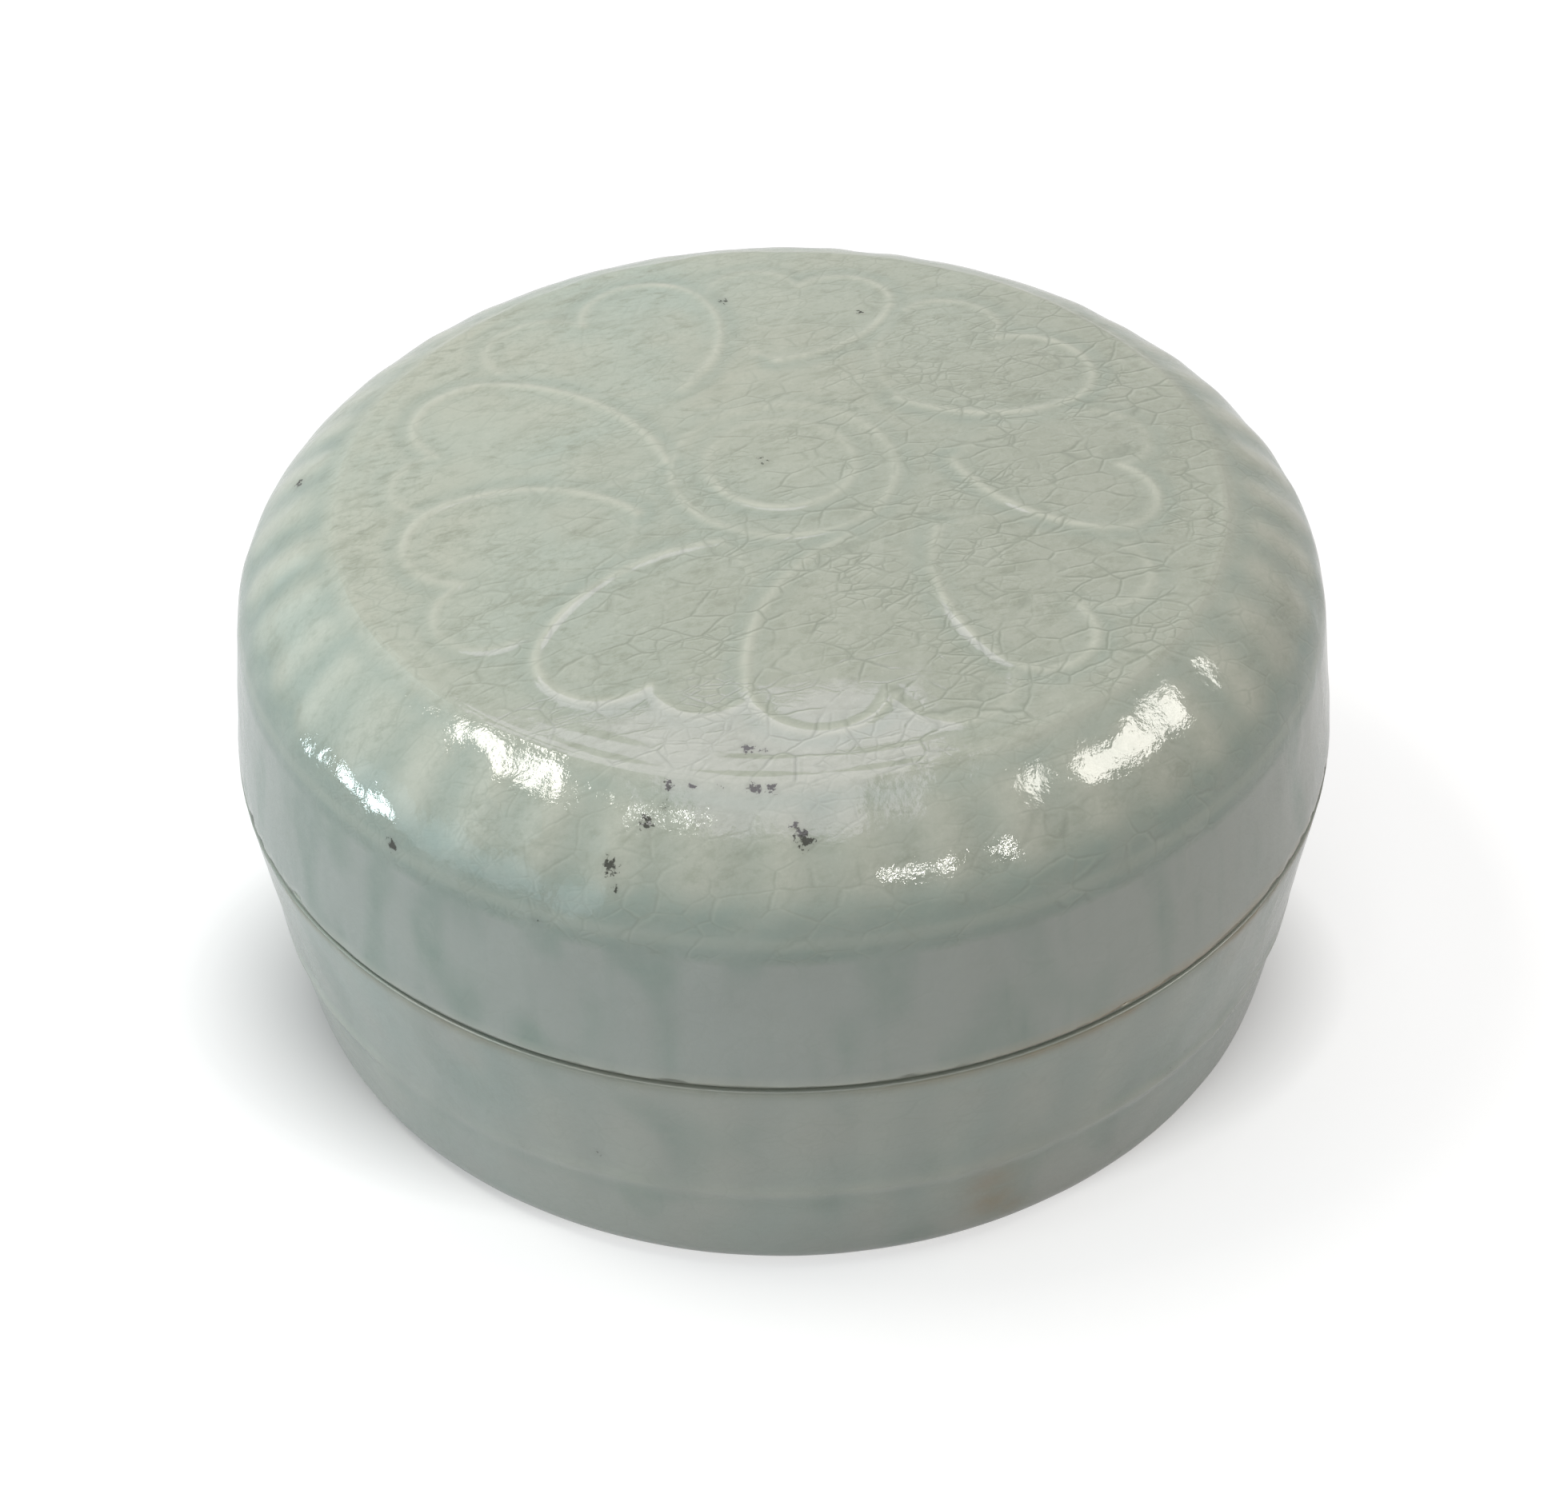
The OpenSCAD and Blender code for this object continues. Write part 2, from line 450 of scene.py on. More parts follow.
def bend(start: Point, corner: Point, end: Point, steps: int = 12) -> list[Point]:
    """Points after start, up to end, on a curve that rounds off a corner."""
    p, q, r = np.array(start), np.array(corner), np.array(end)
    shares = np.linspace(0, 1, steps + 1)[1:]
    return [tuple((1 - t) ** 2 * p + 2 * t * (1 - t) * q + t * t * r) for t in shares]


def quarter(centre: Point, radius: float, start: float, end: float, steps: int = 12) -> list[Point]:
    """Points on an arc about a centre, from angle start to angle end."""
    return [tuple(np.array(centre) + polar(a, radius)) for a in np.linspace(start, end, steps + 1)]


def crown_height(radius: np.ndarray, edge: Point, rise: float) -> np.ndarray:
    """Height of a round crown at a distance from its middle, for an edge of radius and height."""
    sphere = (edge[0] ** 2 + rise**2) / (2 * rise)
    return edge[1] + rise - sphere + np.sqrt(sphere**2 - np.square(radius))


def crown_way(start: float, end: float, edge: Point, rise: float, count: int = 24) -> list[Point]:
    """Points of a crown from one radius to another."""
    return [(r, float(crown_height(r, edge, rise))) for r in np.linspace(start, end, count)]


def crown_rows(part: Part, edge: Point, rise: float, bands: Sequence[Band], steps: int) -> list[Stretch]:
    """The stretches of a crown, from its middle to its edge.

    Args:
        part: What the crown is.
        edge: Radius and height of its edge.
        rise: How far its middle is above the edge.
        bands: Its bands of rows.
        steps: The piece's number of points round.

    Returns:
        One stretch for each band.
    """
    ends = [band.start for band in bands[1:]] + [edge[0]]
    ways = [crown_way(band.start, end, edge, rise) for band, end in zip(bands, ends)]
    return [Stretch(part, way, band.gap, steps // band.divide) for band, way in zip(bands, ways)]


class Turned:
    """A closed piece turned about the Z axis, with its relief and its facts at every point."""

    # Distance between the points that the rows are picked from
    FINE: ClassVar[float] = 0.05
    # Largest turn of the outline from one row to the next
    MAX_TURN: ClassVar[float] = 13.0
    # How many widths of the softening are taken in on either side of a point
    TAIL: ClassVar[int] = 4

    def __init__(self, stretches: Sequence[Stretch], soften: float) -> None:
        """Lays out the rows and the points.

        Args:
            stretches: The half outline, from the axis round to the axis.
            soften: Width of the rounding of the outline's corners.
        """
        line, owner, share = self._walk(stretches)
        line = self._soften(line, soften / self.FINE)
        tangent = np.gradient(line, axis=0)
        tangent /= np.linalg.norm(tangent, axis=1)[:, None]
        rows = self._rows(line, tangent, np.array([stretches[i].gap for i in owner]))

        self.rings: list[tuple[int, int]] = []
        first = 0
        columns: list[np.ndarray] = []
        for count, row in enumerate(rows):
            steps = 1 if count in (0, len(rows) - 1) else stretches[owner[row]].steps
            self.rings.append((first, steps))
            first += steps
            columns.append(np.stack([np.full(steps, row), np.arange(steps) * 360 / steps], 1))
        table = np.vstack(columns)
        index = table[:, 0].astype(int)
        self.angle = table[:, 1]
        self.part = np.array([stretches[i].part for i in owner], object)[index]
        self.share = share[index]
        self.radius, self.height = line[index, 0], line[index, 1]
        self.radius[[0, -1]] = 0
        self.normal = np.stack([-tangent[index, 1], tangent[index, 0]], 1)
        self.normal[[0, -1], 0] = 0
        self.relief = np.zeros(len(index))
        self.facts = {fact: np.zeros(len(index)) for fact in Fact}

    def _walk(self, stretches: Sequence[Stretch]) -> tuple[np.ndarray, np.ndarray, np.ndarray]:
        """Closely spaced points along the half outline.

        Args:
            stretches: The half outline.

        Returns:
            The points, and each point's stretch and share of it.
        """
        points, owner, share = [np.array([stretches[0].way[0]])], [0], [0.0]
        for number, stretch in enumerate(stretches):
            way = np.vstack([points[-1][-1], stretch.way])
            lengths = np.hypot(*np.diff(way, axis=0).T)
            reach = np.concatenate([[0], np.cumsum(lengths)])
            count = max(2, round(reach[-1] / self.FINE))
            at = np.linspace(0, reach[-1], count + 1)[1:]
            points.append(np.stack([np.interp(at, reach, way[:, 0]), np.interp(at, reach, way[:, 1])], 1))
            owner += [number] * count
            share += list(at / reach[-1])
        return np.vstack(points), np.array(owner), np.array(share)

    @classmethod
    def _soften(cls, line: np.ndarray, width: float) -> np.ndarray:
        """Rounds the corners of a half outline, which runs on in the mirror at the axis.

        Args:
            line: The points of the half outline.
            width: Width of the rounding, in points.

        Returns:
            The new points.
        """
        pad = int(cls.TAIL * width) + 1
        mirror = np.array([-1, 1])
        long = np.vstack([line[pad:0:-1] * mirror, line, line[-2 : -pad - 2 : -1] * mirror])
        kernel = np.exp(-((np.arange(-pad, pad + 1) / width) ** 2) / 2)
        kernel /= kernel.sum()
        return np.stack([np.convolve(long[:, axis], kernel, "valid") for axis in (0, 1)], 1)

    def _rows(self, line: np.ndarray, tangent: np.ndarray, gap: np.ndarray) -> list[int]:
        """Which points of the outline carry a row: evenly spaced, and closer where it turns.

        Args:
            line: The points of the half outline.
            tangent: Its direction at each point.
            gap: Distance between rows at each point.

        Returns:
            The numbers of the points.
        """
        length = np.linalg.norm(np.diff(line, axis=0), axis=1)
        cosine = np.clip((tangent[1:] * tangent[:-1]).sum(1), -1, 1)
        cost = length / gap[1:] + np.degrees(np.arccos(cosine)) / self.MAX_TURN
        reach = np.concatenate([[0], np.cumsum(cost)])
        wanted = np.linspace(0, reach[-1], int(reach[-1]) + 1)
        rows = np.unique(np.searchsorted(reach, wanted - 1e-9))
        return [int(row) for row in rows]

    def __len__(self) -> int:
        """Number of points."""
        return len(self.radius)

    def on(self, *parts: Part) -> np.ndarray:
        """1 at points of these parts and 0 elsewhere."""
        return np.isin(self.part.astype(object), list(parts)).astype(float)

    def points(self) -> np.ndarray:
        """The points with their relief.

        Returns:
            One row of three millimetres for each point.
        """
        turn = np.radians(self.angle)
        radius = self.radius + self.relief * self.normal[:, 0]
        height = self.height + self.relief * self.normal[:, 1]
        return np.stack([radius * np.cos(turn), radius * np.sin(turn), height], 1)

    def raise_fact(self, fact: Fact, values: np.ndarray) -> None:
        """Raises a fact to these values where they are higher."""
        self.facts[fact] = np.clip(np.maximum(self.facts[fact], values), 0, 1)

    def faces(self) -> list[tuple[int, ...]]:
        """The faces between neighbouring rings, whose numbers of points are equal or one to two.

        Returns:
            The points' numbers for each face.
        """
        faces: list[tuple[int, ...]] = []
        for (a, count_a), (b, count_b) in zip(self.rings, self.rings[1:]):
            if count_a == 1:
                faces += [(a, b + j, b + (j + 1) % count_b) for j in range(count_b)]
            elif count_b == 1:
                faces += [(a + j, b, a + (j + 1) % count_a) for j in range(count_a)]
            elif count_a == count_b:
                for j in range(count_a):
                    k = (j + 1) % count_a
                    faces.append((a + j, b + j, b + k, a + k))
            elif count_b == 2 * count_a:
                for j in range(count_a):
                    k, near, far = (j + 1) % count_a, b + 2 * j + 1, b + (2 * j + 2) % count_b
                    faces += [(a + j, b + 2 * j, near), (a + j, near, a + k), (a + k, near, far)]
            else:
                for j in range(count_b):
                    k, near, far = (j + 1) % count_b, a + 2 * j + 1, a + (2 * j + 2) % count_a
                    faces += [(a + 2 * j, b + j, near), (near, b + j, b + k), (near, b + k, far)]
        return faces

    def to_object(self, name: str) -> bpy.types.Object:
        """Makes the Blender object.

        Args:
            name: Name of the piece.

        Returns:
            The object, smooth shaded, with one mesh attribute for each fact in use.
        """
        mesh = bpy.data.meshes.new(name)
        mesh.from_pydata((self.points() * MM).tolist(), [], self.faces())
        mesh.polygons.foreach_set("use_smooth", [True] * len(mesh.polygons))
        for fact, values in self.facts.items():
            layer = mesh.attributes.new(fact.value, "FLOAT", "POINT")
            layer.data.foreach_set("value", values.astype(np.float32))
        mesh.validate()
        made = bpy.data.objects.new(name, mesh)
        bpy.context.scene.collection.objects.link(made)
        return made


@dataclass(frozen=True)
class Spot:
    """A mark on the surface: an iron speck, a stain or a nick.

    Attributes:
        angle: Its angle round the box.
        radius: Its distance from the axis.
        height: Its height.
        size: Its half width.
        strength: Its strength in the middle, as a share. For a nick it is the depth.
    """

    angle: float
    radius: float
    height: float
    size: float
    strength: float = 1

    def share(self, points: np.ndarray) -> np.ndarray:
        """How strongly the mark shows at each point."""
        at = np.append(polar(self.angle, self.radius), self.height)
        return self.strength * hump(np.linalg.norm(points - at, axis=1), 0, self.size)


@dataclass(frozen=True)
class Cloud:
    """Cloudy noise that is cut to a range and spread over another.

    Attributes:
        size: Distance from one cloud to the next.
        detail: Depth of the noise's finer layers.
        low: Noise that gives the least value.
        high: Noise that gives the most.
        least: The least value.
        most: The most.
        roughness: Strength of the finer layers.
    """

    size: float
    detail: float
    low: float
    high: float
    least: float = 0
    most: float = 1
    roughness: float = 0.5


@dataclass(frozen=True)
class Wisp:
    """Fine dark flecks drawn out one way.

    Attributes:
        size: Width of a fleck.
        stretch: Length of a fleck over its width.
        turn: Angle of the flecks round the Z axis.
        low: Noise where a fleck begins.
        high: Noise where it is full.
        share: Its strength where it is full.
    """

    size: float
    stretch: float
    turn: float
    low: float
    high: float
    share: float


@dataclass(frozen=True)
class Net:
    """A network of cracks drawn out one way.

    Attributes:
        size: Distance across a cell.
        stretch: Length of a cell over its width.
        turn: Angle of the cells round the Z axis.
        width: Width of a crack.
        share: Strength of the cracks. Below 1 they keep to patches.
    """

    size: float
    stretch: float
    turn: float
    width: float
    share: float


class Tree:
    """A node tree, with short ways to add and join its nodes."""

    def __init__(self, tree: bpy.types.NodeTree) -> None:
        """Empties the tree and keeps it."""
        tree.nodes.clear()
        self.tree = tree
        self._place: Socket | None = None

    def add(
        self, kind: str, inputs: dict[str | int, object] | None = None, **settings: object
    ) -> bpy.types.Node:
        """Adds a node.

        Args:
            kind: Blender's name for the node's type.
            inputs: Values or sockets for its inputs, by name or number.
            settings: Properties of the node.

        Returns:
            The node.
        """
        node = self.tree.nodes.new(kind)
        for name, value in settings.items():
            setattr(node, name, value)
        for name, value in (inputs or {}).items():
            if isinstance(value, Socket):
                self.tree.links.new(value, node.inputs[name])
            elif isinstance(value, tuple) and node.inputs[name].type == "RGBA":
                node.inputs[name].default_value = (*value, 1)
            else:
                node.inputs[name].default_value = value
        return node

    def place(self) -> Socket:
        """The place on the piece, in metres, which moves with the piece."""
        if self._place is None:
            self._place = self.add("ShaderNodeTexCoord").outputs["Object"]
        return self._place

    def streaks(self, size: float, stretch: float, turn: float, detail: float = 5) -> Socket:
        """Noise drawn out along a level direction.

        Args:
            size: Width of a streak.
            stretch: Length of a streak over its width.
            turn: Angle of the direction round the Z axis.
            detail: Depth of the noise's finer layers.

        Returns:
            The socket with the noise.
        """
        place = self.along(self.place(), stretch, turn)
        settings = {"Vector": place, "Scale": 1 / (size * MM), "Detail": detail, "Roughness": 0.6}
        return self.add("ShaderNodeTexNoise", settings).outputs["Fac"]

    def fact(self, fact: Fact) -> Socket:
        """A fact of the surface."""
        return self.add("ShaderNodeAttribute", attribute_name=fact.value).outputs["Fac"]

    def noise(self, size: float, detail: float = 2, roughness: float = 0.5, distortion: float = 0) -> Socket:
        """Cloudy noise.

        Args:
            size: Distance from one cloud to the next.
            detail: Depth of the finer layers.
            roughness: Strength of the finer layers.
            distortion: How far the noise is bent by itself.

        Returns:
            The socket with the noise.
        """
        settings = {"Vector": self.place(), "Scale": 1 / (size * MM), "Detail": detail}
        settings |= {"Roughness": roughness, "Distortion": distortion}
        return self.add("ShaderNodeTexNoise", settings).outputs["Fac"]

    def cloud(self, cloud: Cloud) -> Socket:
        """Cloudy noise, cut and spread as the cloud says."""
        noise = self.noise(cloud.size, cloud.detail, cloud.roughness)
        return self.fit(noise, cloud.low, cloud.high, cloud.least, cloud.most)

    def fit(self, value: Socket, low: float, high: float, to_low: float = 0, to_high: float = 1) -> Socket:
        """A value mapped from one range to another and held within it."""
        ends = {0: value, 1: low, 2: high, 3: to_low, 4: to_high}
        return self.add("ShaderNodeMapRange", ends).outputs[0]

    def sum(self, operation: str, *values: Socket | float) -> Socket:
        """One step of arithmetic."""
        node = self.add("ShaderNodeMath", dict(enumerate(values)), operation=operation)
        return node.outputs[0]

    def times(self, a: Socket, b: Socket | float) -> Socket:
        """Product of two values."""
        return self.sum("MULTIPLY", a, b)

    def mix(self, share: Socket | float, a: Socket | Colour, b: Socket | Colour) -> Socket:
        """Colour between a and b."""
        return self.add("ShaderNodeMix", {"Factor": share, 6: a, 7: b}, data_type="RGBA").outputs[2]

    def along(self, place: Socket, stretch: float, turn: float) -> Socket:
        """A place for a pattern that is drawn out this much at this angle round the Z axis."""
        inputs = {0: place, "Rotation": (0, 0, math.radians(turn)), "Scale": (stretch, 1, 1)}
        return self.add("ShaderNodeMapping", inputs, vector_type="TEXTURE").outputs[0]

    def wander(self, size: float, bend: float) -> Socket:
        """The place, shifted to and fro.

        Args:
            size: Distance over which the shift changes.
            bend: How far the noise shifts the place, in millimetres.

        Returns:
            The socket with the place.
        """
        cloud = self.add("ShaderNodeTexNoise", {"Vector": self.place(), "Scale": 1 / (size * MM)})
        centred = self.vector("SUBTRACT", cloud.outputs["Color"], (0.5, 0.5, 0.5))
        scaled = self.add("ShaderNodeVectorMath", {0: centred, "Scale": bend * MM}, operation="SCALE")
        return self.vector("ADD", self.place(), scaled.outputs[0])

    def vector(self, operation: str, a: Socket, b: Socket | Triple) -> Socket:
        """One step of arithmetic on vectors."""
        return self.add("ShaderNodeVectorMath", {0: a, 1: b}, operation=operation).outputs[0]

    def cracks(self, place: Socket, size: float, width: float) -> Socket:
        """Network of fine cracks: 1 along them and 0 between.

        Args:
            place: Place of each point in the network.
            size: Distance across a cell of the network.
            width: Width of a crack.

        Returns:
            The socket with the network.
        """
        cells = {"Vector": place, "Scale": 1 / (size * MM)}
        edge = self.add("ShaderNodeTexVoronoi", cells, feature="DISTANCE_TO_EDGE").outputs["Distance"]
        return self.fit(edge, 0, width / size, 1, 0)


@dataclass(frozen=True)
class Glaze:
    """Pale grey-green glaze, thin over raised edges, thick and bluish in hollows, finely crazed."""

    name: str
    even: Colour = srgb(187, 190, 175)
    cool: Colour = srgb(180, 190, 178)
    warm: Colour = srgb(191, 189, 172)
    pooled: Colour = srgb(151, 164, 154)
    thin: Colour = srgb(198, 200, 186)
    # Painted shade: darker olive for the side away from the light
    olive_shade: Colour = srgb(174, 177, 164)
    # Painted shade: darker, cooler colour for the sides, which get less light from above
    side_shade: Colour = srgb(173, 178, 173)
    mottle: Colour = srgb(148, 153, 137)
    pale: Colour = srgb(206, 210, 196)
    crack: Colour = srgb(132, 138, 124)
    # Painted shade in the seam between lid and base
    seam_shade: Colour = srgb(124, 124, 106)
    rust: Colour = srgb(168, 144, 108)
    iron: Colour = srgb(46, 46, 38)
    paste: Colour = srgb(172, 40, 26)
    biscuit: Colour = srgb(206, 194, 172)
    biscuit_shade: Colour = srgb(178, 160, 132)
    cool_cloud: Cloud = Cloud(19, 2, 0.42, 0.62)
    warm_cloud: Cloud = Cloud(9, 3, 0.5, 0.75, 0, 0.6)
    wisp_zones: Cloud = Cloud(5, 2, 0.35, 0.65, 0.4, 1)
    pale_grains: Cloud = Cloud(0.55, 4, 0.52, 0.7, 0, 0.18, 0.7)
    uneven: Cloud = Cloud(2.2, 4, 0.3, 0.7, 0.45, 1, 0.6)
    crack_zones: Cloud = Cloud(3.2, 3, 0.36, 0.56, roughness=0.6)
    net_patches: Cloud = Cloud(6, 2, 0.45, 0.56)
    bare_edge: Cloud = Cloud(1.2, 3, 0.3, 0.7, -0.25, 0.25)
    clay_cloud: Cloud = Cloud(1.5, 4, 0.35, 0.7, roughness=0.65)
    blots: Cloud = Cloud(1.8, 4, 0.25, 0.7, 0.5, 1, 0.6)
    grit: Cloud = Cloud(0.3, 2, 0.3, 0.7, -0.35, 0.35, 0.6)
    wisps: tuple[Wisp, ...] = (
        Wisp(1.1, 2.6, 35, 0.51, 0.68, 0.62),
        Wisp(0.6, 2.0, 15, 0.52, 0.68, 0.62),
        Wisp(0.3, 1.3, 70, 0.5, 0.72, 0.35),
    )
    nets: tuple[Net, ...] = (
        Net(1.65, 1.9, 22, 0.1, 1),
        Net(0.85, 1.6, 12, 0.075, 0.85),
    )
    cell: float = 2.5
    plate: float = 0.22
    # Painted highlight beside each crack: its shift from the crack, and its strength
    crack_lit: Triple = (-0.08, 0.12, 0.0)
    lit_share: float = 0.3
    crack_share: float = 0.6
    sway: float = 0.3
    gloss: Cloud = Cloud(3, 3, 0.3, 0.7, 0.028, 0.06)
    seam_dull: float = 0.9
    clay_dull: float = 0.8
    lump: float = 1.9
    grain: float = 0.5
    clay_grain: float = 0.25
    fine_h: float = 0.5
    clay_h: float = 0.9
    groove_h: float = -0.05
    bump_mm: float = 0.05

    def material(self) -> bpy.types.Material:
        """Makes the material.

        Returns:
            The material.
        """
        made = bpy.data.materials.new(self.name)
        made.use_nodes = True
        tree = Tree(made.node_tree)
        cracks, lit = self._cracks(tree)
        bare = self._bare(tree)
        inputs = {
            "Base Color": self._marked(tree, self._glazed(tree, cracks, lit), bare),
            "Roughness": self._roughness(tree, bare),
            "Normal": self._normal(tree, cracks, bare),
            "IOR": 1.5,
        }
        shader = tree.add("ShaderNodeBsdfPrincipled", inputs)
        tree.add("ShaderNodeOutputMaterial", {"Surface": shader.outputs[0]})
        return made

    def _cracks(self, tree: Tree) -> tuple[Socket, Socket]:
        """Crazing: large cells with finer ones between, patchy, and strongest where the fact says.

        Args:
            tree: The material's nodes.

        Returns:
            The dark cracks, and the painted highlight beside each.
        """
        lit = tuple(side * MM for side in self.crack_lit)
        broken = tree.times(tree.cloud(self.crack_zones), tree.fact(Fact.CRAZE))
        patches = tree.cloud(self.net_patches)
        found = []
        for shift in ((0.0, 0.0, 0.0), lit):
            both = 0.0
            for net in self.nets:
                start = tree.vector("ADD", tree.wander(net.size, net.size * self.sway), shift)
                cells = tree.cracks(tree.along(start, net.stretch, net.turn), net.size, net.width)
                cells = tree.times(cells, net.share)
                if net.share < 1:
                    cells = tree.times(cells, patches)
                both = tree.sum("MAXIMUM", both, cells)
            found.append(tree.times(both, broken))
        return found[0], found[1]

    def _bare(self, tree: Tree) -> Socket:
        """Where the clay is bare, with an uneven edge to the glaze."""
        return tree.fit(tree.sum("ADD", tree.fact(Fact.BARE), tree.cloud(self.bare_edge)), 0.4, 0.6)

    def _glazed(self, tree: Tree, cracks: Socket, lit: Socket) -> Socket:
        """Colour of the glaze with its flecks and cracks, its painted shade and a painted highlight by each
        crack.

        Args:
            tree: The material's nodes.
            cracks: The dark cracks.
            lit: The painted highlight beside them.

        Returns:
            The socket with the colour.
        """
        colour = tree.mix(tree.cloud(self.cool_cloud), self.even, self.cool)
        colour = tree.mix(tree.cloud(self.warm_cloud), colour, self.warm)
        # Painted shade: darker olive towards the front right
        colour = tree.mix(tree.fact(Fact.OLIVE_SHADE), colour, self.olive_shade)
        # Painted shade: darker and cooler on the wall and lower shoulder
        colour = tree.mix(tree.fact(Fact.SIDE_SHADE), colour, self.side_shade)
        cells = {"Vector": tree.wander(self.cell, self.cell * self.sway), "Scale": 1 / (self.cell * MM)}
        tone = tree.add("ShaderNodeTexVoronoi", cells).outputs["Color"]
        level = tree.add("ShaderNodeSeparateColor", {0: tone}).outputs[0]
        plates = tree.times(tree.fit(level, 0, 1, 0, self.plate), tree.fact(Fact.CRAZE))
        colour = tree.mix(plates, colour, self.mottle)
        zones = tree.times(tree.cloud(self.wisp_zones), tree.fact(Fact.WISP))
        for wisp in self.wisps:
            noise = tree.streaks(wisp.size, wisp.stretch, wisp.turn)
            flecks = tree.fit(noise, wisp.low, wisp.high, 0, wisp.share)
            colour = tree.mix(tree.times(flecks, zones), colour, self.mottle)
        grains = tree.times(tree.cloud(self.pale_grains), tree.fact(Fact.WISP))
        colour = tree.mix(grains, colour, self.pale)
        uneven = tree.cloud(self.uneven)
        colour = tree.mix(tree.times(tree.fact(Fact.POOL), uneven), colour, self.pooled)
        colour = tree.mix(tree.times(tree.fact(Fact.THIN), uneven), colour, self.thin)
        # Painted highlight: a pale line beside each crack, on the side towards the light
        colour = tree.mix(tree.times(lit, self.lit_share), colour, self.pale)
        return tree.mix(tree.times(cracks, self.crack_share), colour, self.crack)

    def _marked(self, tree: Tree, colour: Socket, bare: Socket) -> Socket:
        """Colour with the bare clay, stains, painted shade in the seam and iron specks laid over the glaze.

        Args:
            tree: The material's nodes.
            colour: Colour of the glaze.
            bare: Where the clay is bare.

        Returns:
            The socket with the colour.
        """
        clay = tree.mix(tree.cloud(self.clay_cloud), self.biscuit, self.biscuit_shade)
        colour = tree.mix(bare, colour, clay)
        blots = tree.cloud(self.blots)
        colour = tree.mix(tree.times(tree.fact(Fact.RUST), blots), colour, self.rust)
        colour = tree.mix(tree.times(tree.fact(Fact.SMEAR), blots), colour, self.paste)
        # Painted shade: the faces in the seam between lid and base darken
        colour = tree.mix(tree.fact(Fact.SEAM_SHADE), colour, self.seam_shade)
        iron = tree.fact(Fact.IRON)
        core = tree.fit(tree.sum("ADD", iron, tree.cloud(self.grit)), 0.42, 0.62, 0, 0.9)
        specks = tree.sum("MAXIMUM", core, tree.times(iron, 0.25))
        return tree.mix(specks, colour, self.iron)

    def _roughness(self, tree: Tree, bare: Socket) -> Socket:
        """Roughness: the glaze's, a little uneven, duller in the seam and dry on bare clay.

        Args:
            tree: The material's nodes.
            bare: Where the clay is bare.

        Returns:
            The socket with the roughness.
        """
        dull = tree.times(tree.fact(Fact.SEAM_SHADE), self.seam_dull)
        return tree.fit(bare, 0, 1, tree.sum("MAXIMUM", tree.cloud(self.gloss), dull), self.clay_dull)

    def _normal(self, tree: Tree, cracks: Socket, bare: Socket) -> Socket:
        """The glaze's gentle lumps and pinholes, the cracks and the clay's grain.

        Args:
            tree: The material's nodes.
            cracks: The cracks.
            bare: Where the clay is bare.

        Returns:
            The socket with the bumped normal.
        """
        lump = tree.noise(self.lump, 2, 0.45)
        fine = tree.times(tree.noise(self.grain, 3, 0.6), self.fine_h)
        grain = tree.times(tree.times(tree.noise(self.clay_grain, 4, 0.7), bare), self.clay_h)
        groove = tree.times(cracks, self.groove_h)
        glaze = tree.times(tree.sum("ADD", lump, fine), tree.fact(Fact.UNEVEN))
        height = tree.sum("ADD", glaze, tree.sum("ADD", grain, groove))
        return tree.add("ShaderNodeBump", {"Height": height, "Distance": self.bump_mm * MM}).outputs[0]


@dataclass(frozen=True)
class CinnabarPaste:
    """Oily red paste of cinnabar and plant fibre.

    Attributes:
        name: Name of the material.
        body, deep, bright: Its main colour, its darker clouds and its brighter strands.
        clouds, gloss: Where the main colour shows, and the roughness.
        strand_size, strand_cut, strand_share: Size of the strands, the noise between which they
            show, and their strength.
        oil: Strength of the oily coat.
        bump_mm: Height of the strands.
    """

    name: str
    body: Colour = srgb(184, 36, 18)
    deep: Colour = srgb(128, 14, 12)
    bright: Colour = srgb(214, 66, 32)
    clouds: Cloud = Cloud(3.5, 4, 0.35, 0.65, roughness=0.6)
    gloss: Cloud = Cloud(1.6, 3, 0.3, 0.7, 0.252, 0.546)
    strand_size: float = 0.7
    strand_cut: Point = (0.5, 0.7)
    strand_share: float = 0.7
    oil: float = 0.25
    bump_mm: float = 0.12

    def material(self) -> bpy.types.Material:
        """Makes the material.

        Returns:
            The material.
        """
        made = bpy.data.materials.new(self.name)
        made.use_nodes = True
        tree = Tree(made.node_tree)
        strands = tree.noise(self.strand_size, 5, 0.75, 2.5)
        bright = tree.fit(strands, *self.strand_cut, 0, self.strand_share)
        colour = tree.mix(tree.cloud(self.clouds), self.deep, self.body)
        bump = tree.add("ShaderNodeBump", {"Height": strands, "Distance": self.bump_mm * MM})
        inputs = {
            "Base Color": tree.mix(bright, colour, self.bright),
            "Roughness": tree.cloud(self.gloss),
            "Normal": bump.outputs[0],
            "Coat Weight": self.oil,
        }
        shader = tree.add("ShaderNodeBsdfPrincipled", inputs)
        tree.add("ShaderNodeOutputMaterial", {"Surface": shader.outputs[0]})
        return made


def dress(piece: bpy.types.Object, material: bpy.types.Material, body: Body, node: str) -> None:
    """Gives a piece its material and ties it to the CAD frame.

    Args:
        piece: The piece.
        material: Its finish.
        body: The body that it moves with.
        node: The CAD node that it stands for.
    """
    piece.data.materials.append(material)
    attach(piece, body.value)
    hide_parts(node)
    LOG.info("%s: %d points, rides on %s", piece.name, len(piece.data.vertices), body.value)


